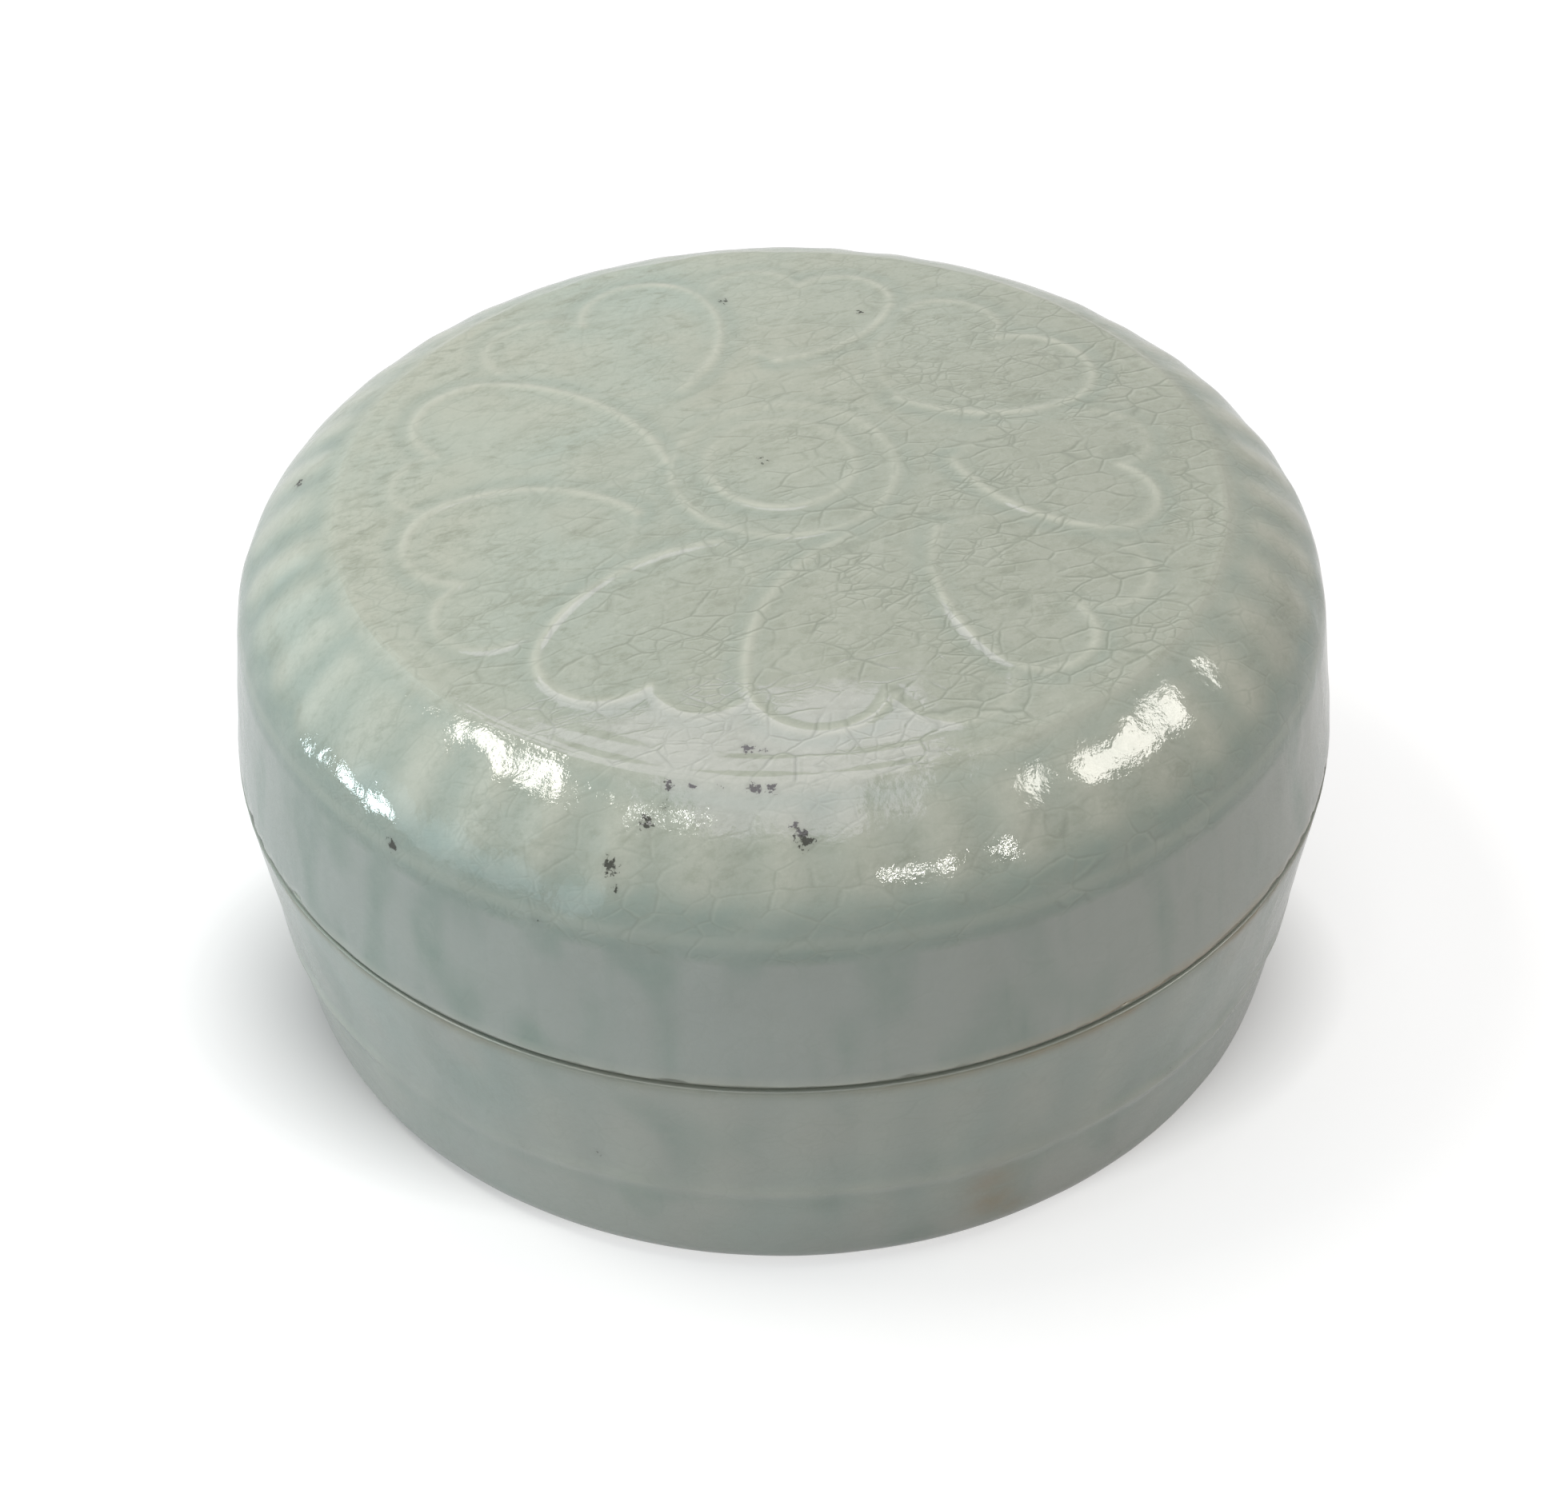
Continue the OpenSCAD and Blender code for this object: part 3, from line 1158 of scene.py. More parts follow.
@dataclass
class Lid:
    """The domed lid with its fluted shoulder and moulded flower."""

    node: str = "box_lid"
    rim_t: float = 3.6
    top_t: float = 3.2
    wall_h: float = 11.1
    ledge_in: float = 1.5
    ledge_cut: int = 4
    ledge_round: float = 1.6
    shoulder_w: float = 7.1
    shoulder_h: float = 5.9
    shoulder_bulge: float = 0.95
    dome_h: float = 1.4
    ceiling_eye: float = 4
    line_h: float = 0.075
    border_h: float = 0.06
    border_gap: float = 1.5
    flute_count: int = 44
    flute_depth: float = 0.1
    flute_sway: float = 0.55
    edge_wear: float = 0.1
    # Angle towards which the crazing grows and the painted shade darkens
    craze_and_shade_at: float = -35
    soften: float = 0.22
    steps: int = 616
    field_bands: tuple[Band, ...] = (
        Band(0, 0.35, 8),
        Band(2, 0.28, 4),
        Band(4.2, 0.26, 2),
        Band(15, 0.26, 1),
    )
    flower: Flower = field(default_factory=Flower)
    finish: Glaze = Glaze("lid_glaze_finish")
    specks: tuple[Spot, ...] = (
        Spot(99.8, 21.7, 37.6, 0.41, 0.7),
        Spot(73.0, 20.3, 37.7, 0.35, 0.6),
        Spot(173.8, 32.1, 35.5, 0.54, 0.7),
        Spot(-94.5, 26.4, 37.2, 0.41, 0.9),
        Spot(-92.5, 26.5, 37.2, 0.27, 0.6),
        Spot(-103.0, 29.7, 36.8, 0.43, 0.75),
        Spot(-100.5, 29.5, 36.8, 0.38, 0.7),
        Spot(-97.3, 29.3, 36.9, 0.27, 0.6),
        Spot(-93.3, 29.4, 36.9, 0.46, 0.8),
        Spot(-91.5, 29.4, 36.9, 0.41, 0.8),
        Spot(-104.5, 31.8, 35.7, 0.49, 0.9),
        Spot(-103.0, 30.8, 36.3, 0.35, 0.7),
        Spot(-88.0, 32.3, 35.4, 0.57, 0.9),
        Spot(-88.9, 31.6, 35.8, 0.41, 0.7),
        Spot(-107.3, 34.1, 33.9, 0.51, 1.0),
        Spot(-106.5, 34.9, 33.0, 0.35, 0.7),
        Spot(-130.8, 36.0, 30.9, 0.46, 0.9),
        Spot(-113.8, 36.1, 30.1, 0.38, 0.6),
        Spot(139.8, 1.3, 38.4, 0.68, 0.35),
    )
    nick: Spot = Spot(-138.2, 37.3, 20.9, 0.7, 0.14)

    def __post_init__(self) -> None:
        """Takes the outer size from the CAD node and works out the rest."""
        low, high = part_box(self.node)
        self.seam_r = high.x / MM
        self.rim_z = low.z / MM
        self.ledge_r = self.seam_r - self.ledge_in
        self.ledge_z = self.rim_z + self.wall_h
        self.field_r = self.ledge_r - self.shoulder_w
        self.field_z = self.ledge_z + self.shoulder_h
        self.mouth_r = self.seam_r - self.rim_t

    def outline(self) -> list[Stretch]:
        """The half outline.

        Returns:
            Its stretches: over the top, down the wall, under the rim and up inside.
        """
        edge = (self.field_r, self.field_z)
        ledge = (self.ledge_r, self.ledge_z)
        inner_top = (self.mouth_r, self.ledge_z - self.top_t)
        ceiling = (self.field_r - self.top_t / 2, self.field_z - self.top_t)
        half, few, fewest = self.steps // 2, self.steps // 4, self.steps // 8
        shoulder = swell(edge, ledge, self.shoulder_bulge)[: -self.ledge_cut]
        lean = self.ledge_in / self.wall_h
        below = (self.ledge_r + self.ledge_round * lean, self.ledge_z - self.ledge_round)
        shoulder += bend(shoulder[-1], ledge, below)
        return crown_rows(Part.FIELD, edge, self.dome_h, self.field_bands, self.steps) + [
            Stretch(Part.SHOULDER, shoulder, 0.46, self.steps),
            Stretch(Part.WALL, [(self.seam_r, self.rim_z)], 0.9, self.steps),
            Stretch(Part.RIM, [(self.mouth_r, self.rim_z)], 0.6, half),
            Stretch(Part.HOLLOW, [inner_top], 1.2, half),
            Stretch(Part.HOLLOW, swell(inner_top, ceiling, -self.shoulder_bulge), 0.9, few),
            Stretch(Part.HOLLOW, crown_way(ceiling[0], self.ceiling_eye, ceiling, self.dome_h), 1.2, few),
            Stretch(Part.HOLLOW, crown_way(self.ceiling_eye, 0, ceiling, self.dome_h), 0.8, fewest),
        ]

    def flutes(self, shape: Turned, place: np.ndarray) -> tuple[np.ndarray, np.ndarray]:
        """The shoulder's soft flutes and their faint run down the wall.

        Args:
            shape: The lid before its flutes.
            place: Its points.

        Returns:
            How much of a crest and how much of a hollow each point is in, as shares.
        """
        turn = np.radians(shape.angle) * self.flute_count
        turn += self.flute_sway * lumps(squashed(place, 0), 24, 31)
        crest = ((1 + np.cos(turn)) / 2) ** 1.15
        fading = 1 - 0.85 * ease(shape.share, 0.6, 1)
        on_shoulder = shape.on(Part.SHOULDER) * ease(shape.share, 0.02, 0.3) * fading
        on_wall = shape.on(Part.WALL) * 0.15 * ease(shape.share, 0.6, 0)
        worn = (0.8 + 0.4 * lumps(place, 14, 32)) * (1 - 0.5 * ease(place[:, 1], 5, 25))
        reach = (on_shoulder + on_wall) * worn
        return crest * reach, (1 - crest) * reach

    def _mould(self, shape: Turned, place: np.ndarray) -> None:
        """Adds what the mould gave the outside: flower, border and flutes, with their glaze.

        Args:
            shape: The lid.
            place: Its points before any relief.
        """
        outside = shape.on(Part.FIELD, Part.SHOULDER, Part.WALL)
        on_field = shape.on(Part.FIELD) > 0
        height, pool = np.zeros(len(shape)), np.zeros(len(shape))
        height[on_field], pool[on_field] = self.flower.relief(place[on_field, 0], place[on_field, 1])
        height *= 0.8 + 0.25 * lumps(place, 8, 33)
        border = hump(shape.radius, self.field_r, 0.5) * outside
        border += 0.6 * hump(shape.radius, self.field_r - self.border_gap, 0.4) * outside
        border *= 0.65 + 0.5 * lumps(place, 11, 34)
        crest, hollow = self.flutes(shape, place)
        shape.relief += self.line_h * height + self.border_h * border - self.flute_depth * hollow

        above_ledge = shape.on(Part.SHOULDER) * ease(shape.share, 0.56, 0.8) * ease(shape.share, 1.04, 0.98)
        on_ledge = hump(shape.height, self.ledge_z - 0.5, 0.35) * shape.on(Part.SHOULDER, Part.WALL)
        by_border = 0.5 * hump(shape.radius, self.field_r + 1.3, 0.7) * shape.on(Part.SHOULDER)
        behind = 0.4 + 0.6 * ease(place[:, 1], -32, -8)
        crest *= 0.85 * behind * (1 - above_ledge)
        shape.raise_fact(Fact.POOL, 0.8 * pool)
        shape.raise_fact(Fact.POOL, behind * hollow + 1.1 * above_ledge + by_border)
        shape.raise_fact(Fact.THIN, 1.15 * height)
        shape.raise_fact(Fact.THIN, 0.3 * border + crest + 0.4 * on_ledge)

    def _unevenness(self, shape: Turned, place: np.ndarray) -> None:
        """Adds the glaze's lumps, clouds, flecks, crazing and painted shade, on the wall and towards the
        front right.

        Args:
            shape: The lid.
            place: Its points before any relief.
        """
        top, shoulder, wall = (shape.on(part) for part in (Part.FIELD, Part.SHOULDER, Part.WALL))
        outside = top + shoulder + wall
        lumpy = 0.03 * lumps(place, 6.5, 35) + 0.008 * lumps(place, 2.4, 36) - 0.05
        shape.relief += outside * (1 - 0.8 * top) * lumpy
        shape.relief -= 0.03 * outside * ease(lumps(place, 40, 37), -1, 1)
        blots = ease(lumps(squashed(place, 0.45), 4.8, 38), -0.2, 1.2)
        hairs = ease(lumps(squashed(place, 0.1), 1.6, 41), 0.4, 1.6)
        shape.raise_fact(Fact.POOL, wall * (blots + 0.3 * hairs))
        shape.raise_fact(Fact.UNEVEN, 0.12 + 0.88 * (shoulder + wall))
        shape.raise_fact(Fact.WISP, 0.1 + 0.9 * (top + shoulder))
        # Painted shade: the wall and lower shoulder, which face sideways, turn darker and cooler
        shape.raise_fact(Fact.SIDE_SHADE, 0.8 * wall + 0.8 * shoulder * ease(shape.share, 0.6, 1))
        toward = place[:, :2] @ polar(self.craze_and_shade_at, 1)
        crazed = (0.3 + 0.7 * ease(toward, -22, 12)) * (1 - 0.9 * wall - 0.55 * shoulder)
        shape.raise_fact(Fact.CRAZE, outside * crazed)
        # Painted shade: darker olive towards the front right, away from the light from the left
        shape.raise_fact(Fact.OLIVE_SHADE, outside * ease(toward, -26, 22))

    def _wear(self, shape: Turned, place: np.ndarray) -> None:
        """Adds the worn and bare rim, the nick, the stains, the specks and the painted shade under the rim.

        Args:
            shape: The lid.
            place: Its points before any relief.
        """
        edge = hump(shape.height, self.rim_z, 0.4) * shape.on(Part.WALL)
        nick = self.nick.share(place)
        shape.relief -= self.edge_wear * edge * ease(lumps(place, 2.2, 39), 0, 1.2) + nick
        shape.raise_fact(Fact.POOL, 5 * nick)
        shape.raise_fact(Fact.THIN, edge)
        bare = ease(shape.radius, self.seam_r - 0.8, self.seam_r - 1.3)
        shape.raise_fact(Fact.BARE, shape.on(Part.RIM) * bare)
        # Painted shade under the rim, in the seam
        shape.raise_fact(Fact.SEAM_SHADE, 0.35 * shape.on(Part.RIM))
        right = ease(np.cos(np.radians(shape.angle + 35)), 0.7, 0.97)
        here_and_there = ease(lumps(place, 16, 40), 0.3, 1.2)
        shape.raise_fact(Fact.RUST, edge * (0.75 * right + 0.2 * here_and_there))
        for speck in self.specks:
            shape.raise_fact(Fact.IRON, speck.share(place))

    def shape(self) -> Turned:
        """The lid with its relief and its facts.

        Returns:
            The shape.
        """
        shape = Turned(self.outline(), self.soften)
        place = shape.points()
        self._mould(shape, place)
        self._unevenness(shape, place)
        self._wear(shape, place)
        return shape

    def build(self) -> bpy.types.Object:
        """Builds and dresses the lid."""
        piece = self.shape().to_object("lid_shell")
        dress(piece, self.finish.material(), Body.LID, self.node)
        return piece


@dataclass
class Base:
    """The base: its well for the paste, the flange that the lid fits over, and the foot."""

    node: str = "box_base"
    wall_h: float = 19.7
    ridge_in: float = 1.25
    ridge_z: float = 9.1
    ridge_w: float = 0.55
    ridge_h: float = 0.16
    foot_in: float = 2.2
    foot_round: float = 2.6
    foot_band: float = 4.0
    foot_hollow: float = 0.8
    floor_t: float = 3.4
    flange_r: float = 33.5
    flange_t: float = 2.4
    well_round: float = 5.0
    eye_r: float = 8
    under_eye_r: float = 9
    flute_count: int = 44
    flute_depth: float = 0.03
    flute_sway: float = 0.7
    soften: float = 0.2
    steps: int = 616
    specks: int = 14
    finish: Glaze = Glaze(
        "base_glaze_finish",
        even=srgb(181, 184, 175),
        cool=srgb(172, 182, 174),
        warm=srgb(184, 181, 173),
    )
    stains: tuple[Spot, ...] = (
        Spot(-69.5, 35.9, 6.5, 1.9, 0.5),
        Spot(-69.0, 35.5, 4.2, 1.6, 0.7),
        Spot(-66.5, 35.2, 3.0, 1.2, 0.45),
    )

    def __post_init__(self) -> None:
        """Takes the outer size from the CAD node and works out the rest."""
        _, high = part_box(self.node)
        self.seam_r = high.x / MM
        self.flange_z = high.z / MM
        self.well_r = self.flange_r - self.flange_t
        self.floor_z = self.foot_hollow + self.floor_t
        self.foot_r = self.seam_r - self.foot_in
        self.ridge_r = self.seam_r - self.ridge_in

    def outline(self) -> list[Stretch]:
        """The half outline.

        Returns:
            Its stretches: out over the well's floor, over the flange, down the wall and under the foot.
        """
        full, half, few, fewest = self.steps, self.steps // 2, self.steps // 4, self.steps // 8
        turn = (self.well_r - self.well_round, self.floor_z + self.well_round)
        foot_outer = self.foot_r - self.foot_round
        foot_inner = foot_outer - self.foot_band
        return [
            Stretch(Part.WELL, [(0, self.floor_z), (self.eye_r, self.floor_z)], 1.0, fewest),
            Stretch(Part.WELL, [(turn[0], self.floor_z)], 1.2, few),
            Stretch(Part.WELL, quarter(turn, self.well_round, -90, 0), 0.8, half),
            Stretch(Part.WELL, [(self.well_r, self.flange_z)], 0.6, half),
            Stretch(Part.FLANGE, [(self.flange_r, self.flange_z), (self.flange_r, self.wall_h)], 0.6, half),
            Stretch(Part.SEAT, [(self.seam_r, self.wall_h)], 0.5, half),
            Stretch(Part.WALL, [(self.ridge_r, self.ridge_z), (self.foot_r, self.foot_round)], 0.4, full),
            Stretch(Part.FOOT, quarter((foot_outer, self.foot_round), self.foot_round, 0, -90), 0.5, full),
            Stretch(Part.FOOT, [(foot_inner, 0)], 0.5, half),
            Stretch(Part.UNDER, [(foot_inner - self.foot_hollow, self.foot_hollow)], 0.4, half),
            Stretch(Part.UNDER, [(self.under_eye_r, self.foot_hollow)], 0.9, few),
            Stretch(Part.UNDER, [(0, self.foot_hollow)], 0.9, fewest),
        ]

    def _mould(self, shape: Turned, place: np.ndarray) -> None:
        """Adds the wall's raised line, flutes, lumps, worn top edge and their glaze, and painted shade in
        the seam.

        Args:
            shape: The base.
            place: Its points before any relief.
        """
        wall = shape.on(Part.WALL)
        outside = shape.on(Part.WALL, Part.FOOT) * ease(shape.height, 0.3, 2.5)
        ridge = hump(shape.height, self.ridge_z + 0.15 * lumps(place, 20, 51), self.ridge_w)
        ridge *= wall * (0.75 + 0.4 * lumps(place, 12, 52))
        turn = np.radians(shape.angle) * self.flute_count
        crest = (1 + np.cos(turn + self.flute_sway * lumps(squashed(place, 0), 24, 53))) / 2
        fall = ease(shape.height, 3, 8) * (0.75 + 0.35 * lumps(place, 15, 54))
        lumpy = 0.022 * lumps(place, 8, 55) + 0.008 * lumps(place, 2.6, 56) - 0.03
        edge = hump(shape.height, self.wall_h, 0.6) * wall
        shape.relief += self.ridge_h * ridge + outside * lumpy
        shape.relief -= outside * self.flute_depth * (1 - crest) * fall
        shape.relief -= edge * (0.02 + 0.12 * ease(lumps(place, 2.2, 57), -0.2, 1.2))

        blots = ease(lumps(squashed(place, 0.55), 6, 58), 0.2, 1.5)
        under_ridge = hump(shape.height, self.ridge_z - 1.3, 0.7) * wall
        pool = outside * (0.12 * (1 - crest) * fall + 0.75 * blots) + 0.3 * under_ridge
        shape.raise_fact(Fact.POOL, pool)
        shape.raise_fact(Fact.THIN, 0.45 * ridge + 0.25 * outside * crest * fall + 0.3 * edge)
        shape.raise_fact(Fact.CRAZE, 0.15 * outside + 0.6 * shape.on(Part.WELL))
        shape.raise_fact(Fact.UNEVEN, outside)
        shape.raise_fact(Fact.WISP, np.full(len(shape), 0.1))
        # Painted shade on the seat and the wall's top edge, in the seam
        shape.raise_fact(Fact.SEAM_SHADE, 0.35 * shape.on(Part.SEAT) + 0.45 * edge)
        right = ease(np.cos(np.radians(shape.angle + 35)), 0.55, 0.95)
        left = ease(np.cos(np.radians(shape.angle + 130)), 0.85, 1)
        shape.raise_fact(Fact.RUST, edge * (0.9 * right + 0.4 * left) * ease(lumps(place, 9, 59), -1, 0.6))

    def _bare(self, shape: Turned) -> None:
        """Marks the clay as bare on the seat, the flange, the foot and the underside."""
        bare = shape.on(Part.SEAT) * ease(shape.radius, self.seam_r - 0.8, self.seam_r - 1.3)
        bare += shape.on(Part.UNDER) + shape.on(Part.FOOT) * ease(shape.height, 0.7, 0.2)
        bare += shape.on(Part.FLANGE) * ease(shape.height, self.flange_z + 0.2, self.flange_z - 0.6)
        shape.raise_fact(Fact.BARE, bare)

    def _marks(self, shape: Turned, place: np.ndarray, paste_z: float) -> None:
        """Adds stains, smears of paste and small specks.

        Args:
            shape: The base.
            place: Its points before any relief.
            paste_z: Height of the paste's edge.
        """
        foot = shape.on(Part.FOOT, Part.UNDER) * ease(shape.height, 1.2, 0.3)
        shape.raise_fact(Fact.RUST, 0.45 * foot * ease(lumps(place, 9, 60), -0.2, 1))
        for stain in self.stains:
            shape.raise_fact(Fact.RUST, stain.share(place))
        top = paste_z + 2.2 + 1.1 * lumps(place, 5, 61)
        tide = shape.on(Part.WELL) * ease(shape.height, top, paste_z - 0.5)
        lip = 0.5 * shape.on(Part.WELL, Part.FLANGE) * ease(lumps(place, 4, 62), 0.9, 1.7)
        shape.raise_fact(Fact.SMEAR, 0.9 * tide + lip)
        random = np.random.default_rng(63)
        angles, heights, sizes = (
            random.uniform(low, high, self.specks) for low, high in ((-180, 180), (4, 18), (0.2, 0.34))
        )
        for angle, height, size in zip(angles, heights, sizes):
            radius = self.ridge_r + 0.06 * (height - self.ridge_z)
            shape.raise_fact(Fact.IRON, Spot(angle, radius, height, size, 0.5).share(place))

    def shape(self, paste_z: float) -> Turned:
        """The base with its relief and its facts.

        Args:
            paste_z: Height of the paste's edge, above which the well's wall is smeared.

        Returns:
            The shape.
        """
        shape = Turned(self.outline(), self.soften)
        place = shape.points()
        self._mould(shape, place)
        self._bare(shape)
        self._marks(shape, place, paste_z)
        return shape

    def build(self, paste_z: float) -> bpy.types.Object:
        """Builds and dresses the base, with smears above the paste's edge."""
        piece = self.shape(paste_z).to_object("base_shell")
        dress(piece, self.finish.material(), Body.BASE, self.node)
        return piece


@dataclass
class Paste:
    """The mound of red seal paste."""

    node: str = "seal_paste"
    edge_h: float = 9.0
    crown: float = 2.0
    turn_r: float = 4.6
    low: Point = (0.75, 0.02)
    soften: float = 0.5
    steps: int = 308
    bands: tuple[Band, ...] = (Band(0, 0.5, 4), Band(5, 0.4, 2), Band(12, 0.35, 1))
    finish: CinnabarPaste = CinnabarPaste("seal_paste_finish")

    def __post_init__(self) -> None:
        """Takes the size from the CAD node."""
        low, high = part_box(self.node)
        self.radius = high.x / MM
        self.floor_z = low.z / MM
        self.top_z = high.z / MM
        self.edge = (self.radius, self.floor_z + self.edge_h)

    def outline(self) -> list[Stretch]:
        """The half outline.

        Returns:
            Its stretches: over the mound, down its side and under it.
        """
        half, few = self.steps // 2, self.steps // 4
        turn = (self.radius - self.turn_r, self.floor_z + self.turn_r)
        return crown_rows(Part.CROWN, self.edge, self.crown, self.bands, self.steps) + [
            Stretch(Part.HIDDEN, [(self.radius, turn[1])], 1.2, half),
            Stretch(Part.HIDDEN, quarter(turn, self.turn_r, 0, -90), 1.2, half),
            Stretch(Part.HIDDEN, [(0, self.floor_z)], 2.0, few),
        ]

    def surface(self, place: np.ndarray) -> np.ndarray:
        """How far the worked paste lies under the smooth crown at each place, always 0 or below."""
        hills = 0.6 * lumps(place, 11, 71) + 0.3 * lumps(place, 4.5, 72) + 0.13 * lumps(place, 1.8, 73)
        return np.minimum(hills - self.low[0], -self.low[1])

    def build(self) -> bpy.types.Object:
        """Builds and dresses the mound.

        Returns:
            The mound.
        """
        shape = Turned(self.outline(), self.soften)
        place = shape.points()
        inward = ease(shape.radius, self.radius, self.radius - 1.5)
        shape.relief += self.surface(place) * shape.on(Part.CROWN) * inward
        piece = shape.to_object("paste_mound")
        dress(piece, self.finish.material(), Body.BASE, self.node)
        return piece


@dataclass
class Fibres:
    """The short plant fibres that lie on the mound of paste."""

    mound: Paste
    count: int = 220
    sides: int = 5
    joints: int = 9
    thick: float = 0.09
    taper: float = 0.75
    lengths: Point = (1.0, 2.6)
    bend: float = 70
    margin: float = 2.5
    clear: float = 1.0
    lift: float = 0.14
    arch: float = 0.22
    finish: CinnabarPaste = CinnabarPaste(
        "paste_fibre_finish", body=srgb(198, 52, 34), deep=srgb(160, 28, 20)
    )

    def _line(self, random: np.random.Generator, along: np.ndarray) -> np.ndarray:
        """The middle line of a fibre that lies on the mound.

        Args:
            random: Source of its place, turn, bend and length.
            along: Share of the way of each joint, from -1 to 1.

        Returns:
            The joints.
        """
        mound = self.mound
        reach = (mound.radius - self.margin) * math.sqrt(random.uniform())
        middle = polar(random.uniform(0, 360), reach)
        turn, bend = random.uniform(0, 360), random.uniform(-self.bend, self.bend)
        half = random.uniform(*self.lengths)
        turns = np.radians(turn + bend * along)
        steps = np.stack([np.cos(turns), np.sin(turns)], 1) * 2 * half / self.joints
        path = middle + np.cumsum(steps, 0) - steps.sum(0) / 2
        held = np.minimum(1, (mound.radius - self.clear) / np.maximum(np.hypot(*path.T), 1e-6))
        path *= held[:, None]
        crown = crown_height(np.hypot(*path.T), mound.edge, mound.crown)
        ground = crown + mound.surface(np.column_stack([path, crown]))
        height = ground + random.uniform(0, self.lift) + self.arch * random.uniform() * (1 - along**2)
        return np.column_stack([path, np.minimum(height, mound.top_z - self.thick)])

    def _tube(self, line: np.ndarray, along: np.ndarray) -> list[np.ndarray]:
        """The points round a fibre, joint by joint.

        Args:
            line: Its joints.
            along: Share of the way of each joint, from -1 to 1.

        Returns:
            The points.
        """
        ways = np.gradient(line, axis=0)
        ways /= np.linalg.norm(ways, axis=1)[:, None]
        points = []
        for at, way, share in zip(line, ways, along):
            side = np.cross(way, [0, 0, 1])
            side /= np.linalg.norm(side)
            up = np.cross(side, way)
            width = self.thick * (1 - self.taper * abs(share) ** 3)
            for k in range(self.sides):
                a = 2 * math.pi * k / self.sides
                points.append(at + width * (math.cos(a) * side + math.sin(a) * up))
        return points

    def _faces(self, first: int) -> list[tuple[int, ...]]:
        """The faces of a fibre, ends included, whose points start at a number."""
        faces: list[tuple[int, ...]] = []
        for j in range(self.joints - 1):
            for k in range(self.sides):
                a, b = first + j * self.sides + k, first + j * self.sides + (k + 1) % self.sides
                faces.append((a, a + self.sides, b + self.sides, b))
        last = first + (self.joints - 1) * self.sides
        faces.append(tuple(first + k for k in range(self.sides)))
        faces.append(tuple(last + k for k in reversed(range(self.sides))))
        return faces

    def build(self) -> bpy.types.Object:
        """Builds and dresses the fibres.

        Returns:
            One object with all of them.
        """
        random = np.random.default_rng(74)
        along = np.linspace(-1, 1, self.joints)
        points: list[np.ndarray] = []
        faces: list[tuple[int, ...]] = []
        for _ in range(self.count):
            faces += self._faces(len(points))
            points += self._tube(self._line(random, along), along)
        mesh = bpy.data.meshes.new("paste_fibres")
        mesh.from_pydata((np.array(points) * MM).tolist(), [], faces)
        mesh.polygons.foreach_set("use_smooth", [True] * len(mesh.polygons))
        piece = bpy.data.objects.new("paste_fibres", mesh)
        bpy.context.scene.collection.objects.link(piece)
        dress(piece, self.finish.material(), Body.BASE, self.mound.node)
        return piece


@dataclass(frozen=True)
class Lamp:
    """A rectangular lamp that faces the box.

    Attributes:
        name: Name of the lamp.
        angle: Where it stands round the box.
        height: Its angle above the table.
        size: Its width and height in metres.
        level: Its brightness, where 1 is white.
        colour: Its colour.
        spin: Its turn in its own plane.
        reach: Its distance in metres.
        on_matt: Whether it lights matt surfaces.
        on_gloss: Whether it shows in glossy ones.
    """

    name: str
    angle: float
    height: float
    size: Point
    level: float
    colour: Colour = (1, 1, 1)
    spin: float = 0
    reach: float = 1.0
    on_matt: bool = True
    on_gloss: bool = True

    def build(self) -> None:
        """Adds the lamp."""
        data = bpy.data.lights.new(self.name, "AREA")
        data.shape = "RECTANGLE"
        data.size, data.size_y = self.size
        data.energy = self.level * math.pi * self.size[0] * self.size[1]
        data.color = self.colour
        lamp = bpy.data.objects.new(self.name, data)
        flat = polar(self.angle, math.cos(math.radians(self.height)))
        way = Vector((flat[0], flat[1], math.sin(math.radians(self.height))))
        lamp.location = way * self.reach
        facing = (-way).to_track_quat("-Z", "Y")
        lamp.rotation_mode = "QUATERNION"
        lamp.rotation_quaternion = facing @ Quaternion((0, 0, 1), math.radians(self.spin))
        lamp.visible_camera = False
        lamp.visible_diffuse = self.on_matt
        lamp.visible_glossy = self.on_gloss
        bpy.context.scene.collection.objects.link(lamp)
        LOG.info("%s: lamp at %g round, %g up", self.name, self.angle, self.height)


@dataclass(frozen=True)
class Shade:
    """The soft shade that the camera sees on the floor beside the box.

    Attributes:
        x, y: Its middle.
        wide: Its width over its depth.
        inner, outer: Half depth where it starts to fade, and where it ends.
        deep: How much of the floor's lift it takes away.
    """

    x: float = -1.5
    y: float = -8
    wide: float = 1.75
    inner: float = 16.5
    outer: float = 24.5
    deep: float = 0.6


